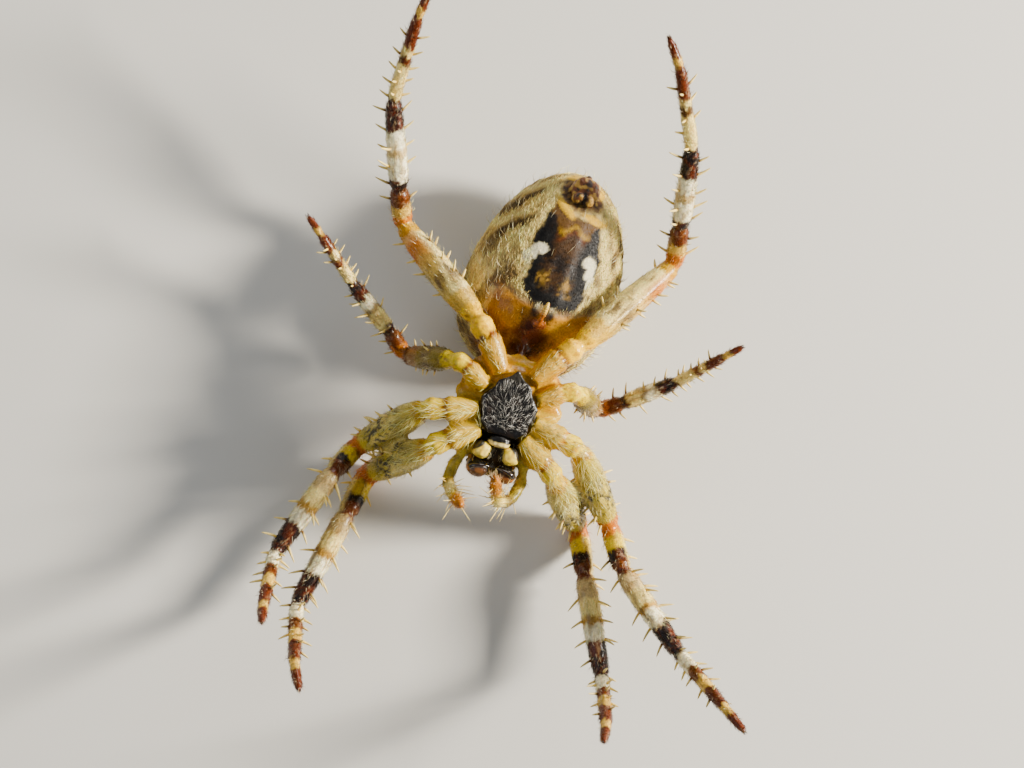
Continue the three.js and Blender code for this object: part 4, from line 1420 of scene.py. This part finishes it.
def breastplate_relief(points, normals):
    """Domed along the middle, with a low knob opposite each hip and a pitted face."""
    x, y, _ = points.T
    face = soft_step(normals[:, 2], 0.3, 0.8)
    dome = 0.1 * bump(x, 0, 0.8) * soft_step(1.5 - np.abs(y), 0, 1.0)
    knobs = np.zeros(len(points))
    for side, (out, back) in itertools.product((-1, 1), HIP_KNOBS):
        knobs += 0.07 * bump(np.hypot(x - side * out, y - back), 0, 0.2)
    corners = soft_step(y, 0.95, 1.4) * soft_step(np.abs(x), 0.08, 0.35)
    waisted = (1 - face) * (0.08 * soft_step(y, 0.2, 0.8) + 0.15 * corners)
    return face * (dome + knobs - 0.03 + 0.012 * grain(points, 0.09, 41)) - waisted


def breastplate_colours(points):
    """Black clouded with bark-brown, and grey towards the tail as a painted sheen on its glossy rear."""
    return layered(all_over(points, "soot"), [
        (0.7 * soft_step(grain(points, 0.25, 42), 0.0, 0.8), "bark"),
        # Painted sheen: grey towards the tail, where the glossy rear of the plate catches light.
        (0.6 * soft_step(points[:, 1], 0.8, 1.4), "grey"),
    ])


def lip_relief(points, normals):
    """Swollen, most where it meets the breastplate."""
    return 0.04 + 0.07 * soft_step(points[:, 1], -1.72, -1.58) + 0.01 * grain(points, 0.1, 43)


def lip_colours(points):
    """Black, with a cream rim to the front."""
    x, y, _ = points.T
    edge = -y + 0.15 * x * x + 0.04 * grain(points, 0.1, 50)
    return paint(all_over(points, "soot"), soft_step(edge, 1.77, 1.84), "cream")


def mouth_plate_relief(points, normals):
    """A pad that thins to its front edge."""
    return -0.01 - 0.05 * soft_step(-points[:, 1], 2.5, 2.7) + 0.012 * grain(points, 0.12, 44)


def mouth_plate_colours(points):
    """Clear yellow, with a dark grey outer corner at its base and a brown front edge."""
    x, y, z = points.T
    out = np.abs(x)
    base = y + 1.0 * (out - 0.55) + 0.1 * grain(points, 0.15, 45)
    return layered(all_over(points, "lemon"), [
        (0.25 + 0.25 * grain(points, 0.2, 51), "cream"),
        (0.5 * bump(out, 0.72, 0.07) * soft_step(y, -2.6, -2.2), "amber"),
        (soft_step(base, -1.94, -1.84), "grey"),
        (0.7 * soft_step(-y, 2.66, 2.75), "umber"),
        (soft_step(-z, 0.6, 0.8), "umber"),
    ])


def jaw_relief(points, normals):
    """Rounded corners, and a shallow groove for the fang across the end."""
    x, y, z = points.T
    groove = bump(y, -3.02, 0.1) * soft_step(z, -0.35, -0.05)
    out = np.abs(x)
    middle_out, middle_y = np.ptp(out) / 2 + out.min(), (y.max() + y.min()) / 2
    corner = np.hypot(2 * (out - middle_out) / np.ptp(out), 2 * (y - middle_y) / np.ptp(y))
    rounding = 0.2 * soft_step(corner, 0.85, 1.4) * soft_step(-z, 0.0, 0.4)
    return -0.02 - 0.06 * groove - rounding + 0.015 * grain(points, 0.12, 46)


def jaw_colours(points):
    """Brown clouded with russet, ginger and amber at the outer side, dark inside, and black painted shadow
    round the fang, in the gap under the mouth plate.
    """
    x, y, z = points.T
    rough = 0.06 * grain(points, 0.2, 47)
    return layered(all_over(points, "umber"), [
        (0.4 + 0.4 * grain(points, 0.25, 52), "russet"),
        (0.8 * soft_step(np.abs(x) + rough, 0.92, 1.1), "ginger"),
        (0.5 * soft_step(-z + rough, 0.5, 1.2) * soft_step(-y, 2.8, 3.1), "amber"),
        (0.8 * soft_step(0.4 - np.abs(x) + rough, 0, 0.15), "bark"),
        # Painted shadow: black at the jaw's end by the fang, in the gap under the mouth plate's front rim.
        (soft_step(y + rough, -3.2, -3.02) * soft_step(z, -1.0, -0.6), "soot"),
    ])


def smooth_line(corners, steps):
    """A curve through the neighbourhood of a few corners."""
    shares = np.linspace(0, len(corners) - 1, steps)
    return evened(points_at(shares, np.arange(len(corners)), corners), 8)


FANG = np.array([
    (0.98, -3.14, -0.14), (0.88, -3.06, 0.04), (0.62, -3.0, 0.12), (0.38, -2.95, 0.1), (0.14, -2.92, 0.0),
])
FANG_STEPS = 25
JAW_TEETH = 4


def build_mouth(materials):
    """The breastplate, lip, mouth plates and jaws with their fangs, teeth and hair."""
    points, faces = plate(
        "sternum", breastplate_relief, breastplate_colours, materials["breastplate"],
        rounds=2, tail=0.38)
    breastplate_hair(points, faces, materials["hair"])
    plate("labium", lip_relief, lip_colours, materials["breastplate"])
    fangs, teeth, pads, jaws = [], [], [], []
    for side_name, side in SIDES.items():
        pads.append(plate(
            f"endite_{side_name}", mouth_plate_relief, mouth_plate_colours, materials["mouth plate"]))
        jaws.append(plate(f"chelicera_{side_name}", jaw_relief, jaw_colours, materials["jaw"]))
        fang = smooth_line(FANG * [side, 1, 1], FANG_STEPS)
        fangs.append(tapered_tube(fang, np.linspace(0.15, 0.012, FANG_STEPS), 14))
        for step in range(JAW_TEETH):
            root = np.array([side * (0.7 - 0.14 * step), -2.86 + 0.02 * step, -0.12])
            tip = root + np.array([0, 0.02, 0.15])
            teeth.append(tapered_tube([root, (root + tip) / 2, tip], np.array([0.05, 0.036, 0.006]), 10))
    joined_piece("fangs", fangs, materials["fang"])
    joined_piece("fang_teeth", teeth, materials["fang"])
    mouth_hair(pads, materials["hair"])
    jaw_hair(jaws, materials["hair"])


def plate_roots(plates, hairy, count):
    """Roots for count hairs on each plate, with their normals, at points that hairy lets through."""
    roots, normals = [], []
    for points, faces in plates:
        rows = RANDOM.choice(np.flatnonzero(hairy(points)), count)
        roots.append(points[rows])
        normals.append(point_normals(points, faces)[rows])
    return np.vstack(roots), np.vstack(normals)


def jaw_front(points):
    """Which points of a jaw lie on its front."""
    return (points[:, 1] < -2.85) & (points[:, 2] < -0.35)


def jaw_hair(jaws, material):
    """Fine pale hairs down the front of each jaw."""
    roots, normals = plate_roots(jaws, jaw_front, HAIRS_ON_PLATE["jaw"])
    count = len(roots)
    lie = np.array([0.0, 0.0, 1.0]) + 0.25 * RANDOM.standard_normal((count, 3))
    ways = square_to(lie, normals)
    tones = all_over(roots, "fawn")
    places = np.column_stack([0.5 + roots[:, 0] / 4, 0.5 + roots[:, 2] / 4])
    lengths = RANDOM.uniform(0.16, 0.3, count)
    lifts = np.radians(RANDOM.uniform(12, 35, count))
    radii = np.full(count, HAIR_RADIUS["jaw"])
    hair_piece("jaw_hair", roots, normals, ways, lengths, radii, lifts, tones, places, material)


def inner_edge(points):
    """Which points of a mouth plate lie along its inner front edge."""
    out, ahead, up = np.abs(points[:, 0]), -points[:, 1], points[:, 2]
    return (out < 0.33) & (ahead > 2.05) & (ahead < 2.65) & (up > -0.4)


def mouth_hair(pads, material):
    """Tufts from the inner front edges of the mouth plates: dark, with paler hairs at the front."""
    roots, normals = plate_roots(pads, inner_edge, HAIRS_ON_PLATE["mouth"])
    count = len(roots)
    lie = np.column_stack([-1.5 * roots[:, 0], np.full(count, -0.8), np.full(count, 0.5)])
    lie += 0.35 * RANDOM.standard_normal((count, 3))
    ways = square_to(lie, normals)
    pale = soft_step(-roots[:, 1] + 0.1 * RANDOM.standard_normal(count), 2.4, 2.5)
    tones = INK["grey"] + (INK["ivory"] - INK["grey"]) * 0.8 * pale[:, None]
    places = np.column_stack([0.5 + roots[:, 0] / 4, 0.5 + roots[:, 1] / 8])
    lengths = RANDOM.uniform(0.18, 0.34, count)
    lifts = np.radians(RANDOM.uniform(20, 50, count))
    radii = np.full(count, HAIR_RADIUS["mouth"])
    hair_piece("mouth_hair", roots, normals, ways, lengths, radii, lifts, tones, places, material)


def egg_plate_relief(points, normals):
    """Fine rings round the tongue, and a sunken base."""
    local = on_abdomen(points)
    base = soft_step(-local[:, 1], 0.8, 1.0)
    return -0.02 - 0.05 * base + 0.012 * np.sin(2 * math.pi * local[:, 1] / 0.11) * (1 - base)


def egg_plate_colours(points):
    """Rust and ginger, with a fawn tip, black at its sides and garnet at the base."""
    across, along, _ = on_abdomen(points).T
    beside = np.abs(across - 0.06) + 0.05 * grain(points, 0.1, 54)
    return layered(all_over(points, "rust"), [
        (0.6 + 0.3 * grain(points, 0.15, 53), "ginger"),
        (soft_step(along, -0.95, -0.55), "fawn"),
        (0.8 * soft_step(beside, 0.24, 0.32), "soot"),
        (0.7 * soft_step(-along, 1.2, 1.4), "garnet"),
    ])


def silk_cone_relief(points, normals):
    """A joint round each cone, two thirds of the way up, and wrinkles."""
    _, along, up = on_abdomen(points).T
    return 0.02 * grain(points, 0.12, 48) - 0.03 * bump(up - 0.25 * (along - 5.1), 2.2, 0.06)


def silk_cone_colours(points):
    """Russet, patched with bark-brown and tan, with fawn ends and black painted shade in the cleft between
    the cones.
    """
    across, along, up = on_abdomen(points).T
    tip = soft_step(up - 0.2 * (along - 5.1) + 0.06 * grain(points, 0.1, 55), 2.32, 2.45)
    # Painted shade: the cleft between the cones is darkened to black.
    cleft = bump(across, 0, 0.12) * soft_step(5.3 - along, 0, 0.2)
    return layered(all_over(points, "russet"), [
        (0.9 * soft_step(grain(points, 0.22, 49), 0.1, 0.4), "bark"),
        (0.9 * soft_step(-grain(points, 0.18, 56), 0.0, 0.4), "tan"),
        (0.75 * tip, "fawn"),
        (np.minimum(1.2 * cleft, 0.95), "soot"),
    ])


def build_egg_plate_and_silk_cones(materials):
    plate("epigyne", egg_plate_relief, egg_plate_colours, materials["amber plate"])
    plate("spinnerets", silk_cone_relief, silk_cone_colours, materials["silk cone"])


RIM_STEPS = 33


def build_eyes(materials):
    """Eight domed eyes, each in a dark raised rim."""
    rims = []
    head = np.array([0, -2.3, -2.1])
    for node, (middle, radius) in eye_seats().items():
        points, faces = ball((0, 0, 0), [radius] * 3, 40, 28)
        out = unit(middle - head)
        bulge = dot(unit(points), out)
        points = points * (1 + 0.03 * soft_step(bulge, 0.6, 1.0))[:, None] + middle
        new_piece(f"{node}_lens", points, faces, materials["eye"], (node,))
        side_way = unit(np.cross(out, [0, 0, 1.0]))
        other = np.cross(out, side_way)
        turns = np.linspace(0, 2 * math.pi, RIM_STEPS)
        seat = middle + 0.15 * radius * out
        ring = seat + radius * (np.cos(turns)[:, None] * side_way + np.sin(turns)[:, None] * other)
        rims.append(tapered_tube(ring, np.full(RIM_STEPS, 0.16 * radius), 10))
    joined_piece("eye_rims", rims, materials["eye rim"])


def breastplate_hair(points, faces, material):
    """Silvery hairs that lie towards the front and the middle of the breastplate."""
    normals = point_normals(points, faces)
    up = np.flatnonzero((normals[:, 2] > 0.35) & (points[:, 1] > -1.15) & (points[:, 1] < 1.2))
    rows = RANDOM.choice(up, HAIRS_ON_PLATE["breastplate"])
    roots = points[rows] + RANDOM.normal(0, 0.01, (len(rows), 3)) * [1, 1, 0]
    lie = np.array([0, -1.0, 0]) - roots * [1, 1, 0]
    lie += 0.4 * RANDOM.standard_normal((len(rows), 3))
    ways = square_to(lie, normals[rows])
    lengths = RANDOM.uniform(0.22, 0.5, len(rows))
    places = np.column_stack([0.5 + roots[:, 0] / 4, 0.5 + roots[:, 1] / 4])
    tones = np.clip(INK["silver"] * RANDOM.uniform(0.08, 0.95, (len(rows), 1)), 0, 0.9)
    radii = RANDOM.uniform(0.004, 0.008, len(rows))
    lifts = np.radians(RANDOM.uniform(6, 30, len(rows)))
    hair_piece("breastplate_hair", roots, normals[rows], ways, lengths, radii, lifts, tones, places, material)


# ---- Finishes ----

def add_node(tree, kind, inputs=(), **settings):
    """Adds a node with its settings, and its inputs set or linked."""
    node = tree.nodes.new(kind)
    for name, value in settings.items():
        setattr(node, name, value)
    for socket, value in dict(inputs).items():
        if isinstance(value, bpy.types.NodeSocket):
            tree.links.new(value, node.inputs[socket])
        else:
            node.inputs[socket].default_value = value
    return node


def per_mm(size):
    """The scale that gives a pattern cells of size millimetres."""
    return 1 / (size * MM)


DULLEST = 3.2  # how many times rougher the skin is where its gloss is 0


def cuticle_finish(name, rough, mottle, pore, pore_depth, shader, base=None):
    """A horny surface: its markings or one colour, mottled, with pores and an uneven gloss.

    rough is the lowest and highest roughness; mottle and pore are millimetres across. The real ones
    are about 0.01 mm, too fine to show, so they are drawn five or more times coarser."""
    material = bpy.data.materials.new(name)
    material.use_nodes = True
    tree = material.node_tree
    tree.nodes.clear()
    place = add_node(tree, "ShaderNodeTexCoord").outputs["Object"]
    dull = 1.0
    if base is None:
        markings = add_node(tree, "ShaderNodeVertexColor", layer_name="markings")
        colour = markings.outputs["Color"]
        dull = add_node(tree, "ShaderNodeMapRange", {
            "Value": markings.outputs["Alpha"], "To Min": DULLEST, "To Max": 1.0}).outputs["Result"]
    else:
        colour = add_node(tree, "ShaderNodeRGB").outputs["Color"]
        colour.default_value = (*linear(base), 1)
    cloud = add_node(tree, "ShaderNodeTexNoise", {"Vector": place, "Scale": per_mm(mottle), "Detail": 3.0})
    clouds = {"Value": cloud.outputs["Fac"], "From Min": 0.3, "From Max": 0.7}
    shade = add_node(tree, "ShaderNodeMapRange", {**clouds, "To Min": 0.78, "To Max": 1.18})
    toned = add_node(
        tree, "ShaderNodeVectorMath", {0: colour, "Scale": shade.outputs["Result"]}, operation="SCALE")
    cells = add_node(tree, "ShaderNodeTexVoronoi", {"Vector": place, "Scale": per_mm(pore)})
    gloss = add_node(tree, "ShaderNodeMapRange", {**clouds, "To Min": rough[0], "To Max": rough[1]})
    gloss = add_node(tree, "ShaderNodeMath", {0: gloss.outputs["Result"], 1: dull}, operation="MULTIPLY")
    relief = add_node(tree, "ShaderNodeBump", {
        "Height": cells.outputs["Distance"], "Strength": 0.6, "Distance": pore_depth * MM})
    surface = add_node(tree, "ShaderNodeBsdfPrincipled", {
        "Base Color": toned.outputs["Vector"], "Roughness": gloss.outputs["Value"],
        "Normal": relief.outputs["Normal"], **shader})
    add_node(tree, "ShaderNodeOutputMaterial", {"Surface": surface.outputs["BSDF"]})
    return material


def glowing(weight, radius, scale):
    """The shader's values for a surface that light goes into; scale is millimetres."""
    return {"Subsurface Weight": weight, "Subsurface Radius": radius, "Subsurface Scale": scale * MM}


def make_finishes():
    return {
        # Soft waxed cuticle, slightly clear: a satin leathery skin that glows a little where it is thin.
        "skin": cuticle_finish(
            "waxed cuticle", (0.16, 0.28), 0.09, 0.06, 0.01,
            {"IOR": 1.5, "Specular IOR Level": 0.3, **glowing(0.15, (0.5, 0.25, 0.12), 0.25)}),
        # Hollow chitin hair with a faint shine, so that its own colour is what shows.
        "hair": cuticle_finish(
            "chitin hair", (0.3, 0.42), 0.2, 0.05, 0.001, {"IOR": 1.5, "Specular IOR Level": 0.12}),
        # Thick tanned plate: nearly black, smooth and pitted, with a dull shine.
        "breastplate": cuticle_finish("tanned breastplate", (0.28, 0.44), 0.12, 0.07, 0.012, {"IOR": 1.45}),
        # Thin pale plate of the mouth: clear yellow horn that glows where it is thin.
        "mouth plate": cuticle_finish(
            "clear yellow horn", (0.28, 0.42), 0.12, 0.06, 0.006,
            {"IOR": 1.52, **glowing(0.15, (0.5, 0.3, 0.1), 0.15)}),
        # Hard jaw: polished brown horn with broad soft highlights.
        "jaw": cuticle_finish("polished jaw horn", (0.3, 0.45), 0.12, 0.08, 0.006, {"IOR": 1.5}),
        # Rim of an eye: the same horn, tanned dark.
        "eye rim": cuticle_finish(
            "dark eye rim", (0.28, 0.4), 0.1, 0.05, 0.004, {"IOR": 1.55}, base=COLOURS["bark"]),
        # Fang: the hardest horn, black and bright.
        "fang": cuticle_finish(
            "black fang horn", (0.12, 0.22), 0.1, 0.06, 0.003,
            {"IOR": 1.56, "Coat Weight": 0.5}, base="#1a0d08"),
        # Claw: hard brown horn with small bright highlights.
        "claw": cuticle_finish(
            "brown claw horn", (0.2, 0.3), 0.1, 0.05, 0.003, {"IOR": 1.55}, base="#2a140c"),
        # Egg plate: glossy amber horn that glows at its thin tongue.
        "amber plate": cuticle_finish(
            "amber horn", (0.2, 0.34), 0.1, 0.06, 0.005,
            {"IOR": 1.54, **glowing(0.2, (0.5, 0.2, 0.08), 0.12)}),
        # Silk cones: wrinkled brown cuticle with a dull surface.
        "silk cone": cuticle_finish("silk cone cuticle", (0.42, 0.6), 0.08, 0.05, 0.01, {"IOR": 1.5}),
        # Eye: a clear lens over black, polished to a mirror-bright point of light.
        "eye": cuticle_finish(
            "eye lens", (0.03, 0.07), 0.3, 0.3, 0.0005, {"IOR": 1.52, "Coat Weight": 1.0}, base="#0b0706"),
    }


# ---- Floor, light and camera ----

def matte_floor():
    """A smooth painted board: pale and matt."""
    material = bpy.data.materials.new("matt board")
    material.use_nodes = True
    surface = material.node_tree.nodes["Principled BSDF"]
    surface.inputs["Base Color"].default_value = (*linear("#d6d4cc"), 1)
    surface.inputs["Roughness"].default_value = 0.85
    bpy.ops.mesh.primitive_plane_add(size=2.0)
    floor = bpy.context.object
    floor.name = "floor"
    floor.data.materials.append(material)


def soft_light(name, place, size, power, tint):
    """A square soft box that faces the spider; place and size are millimetres from the model's origin."""
    lamp = bpy.data.lights.new(name, "AREA")
    lamp.color = linear(tint)
    lamp.size = size * MM
    lamp.energy = power
    light = bpy.data.objects.new(name, lamp)
    light.location = Vector(place) * MM
    light.rotation_euler = (Vector((0, 0, 5 * MM)) - light.location).to_track_quat("-Z", "Y").to_euler()
    bpy.context.scene.collection.objects.link(light)


def build_stage():
    matte_floor()
    soft_light("key", (210, 82, 104), 44, 2.6, "#fff6e8")
    soft_light("fill", (-170, -60, 170), 160, 0.12, "#f2f5ff")
    soft_light("rim", (40, 220, 60), 90, 0.25, "#ffffff")
    world = bpy.data.worlds.new("studio")
    world.use_nodes = True
    world.node_tree.nodes["Background"].inputs["Color"].default_value = (*linear("#e8ecf0"), 1)
    world.node_tree.nodes["Background"].inputs["Strength"].default_value = 0.3
    bpy.context.scene.world = world


# Distance and aim are millimetres, the roll and tilt degrees.
CAMERA = {"distance": 120.0, "lens": 92.8, "roll": 15.2, "tilt": 5.0, "aim": (-0.0909, -0.9545)}


def build_camera():
    """Looks down on the belly, tilted a little to the left legs, with the tail towards the top."""
    roll, tilt = math.radians(CAMERA["roll"]), math.radians(CAMERA["tilt"])
    right = np.array([math.cos(tilt) * math.cos(roll), math.sin(roll), math.sin(tilt) * math.cos(roll)])
    up = np.array([-math.cos(tilt) * math.sin(roll), math.cos(roll), -math.sin(tilt) * math.sin(roll)])
    back = np.cross(right, up)
    aim = CAMERA["aim"]
    place = to_row(-aim[0] * right - aim[1] * up + CAMERA["distance"] * back)
    lens = bpy.data.cameras.new("camera")
    lens.lens = CAMERA["lens"]
    lens.sensor_width = 36
    lens.clip_start = 1 * MM
    camera = bpy.data.objects.new("camera", lens)
    turn = Matrix(np.column_stack([right, up, back]).tolist())
    camera.matrix_world = Matrix.Translation(Vector(place)) @ turn.to_4x4()
    bpy.context.scene.collection.objects.link(camera)
    bpy.context.scene.camera = camera


# ---- The spider ----

build_camera()
build_stage()
FINISHES = make_finishes()
skin = Skin()
markings = skin_colours(skin)
shown = np.column_stack([under_fur(skin, markings), skin_gloss(skin)])
unwrap = unwrap_corners(skin)
new_piece("skin", skin.points, skin.faces, FINISHES["skin"], flesh_nodes(), shown, unwrap)
build_mouth(FINISHES)
build_egg_plate_and_silk_cones(FINISHES)
build_eyes(FINISHES)
skin.lie = lie_of_coat(skin)
follicles = Follicles(skin)
grow_coat(skin, follicles, markings, FINISHES["hair"])
grow_bristles(skin, follicles, markings, FINISHES["hair"])
grow_hip_hair(skin, follicles, FINISHES["hair"])
limb_spines(skin, markings, FINISHES["hair"])
foot_claws(skin, FINISHES["claw"])
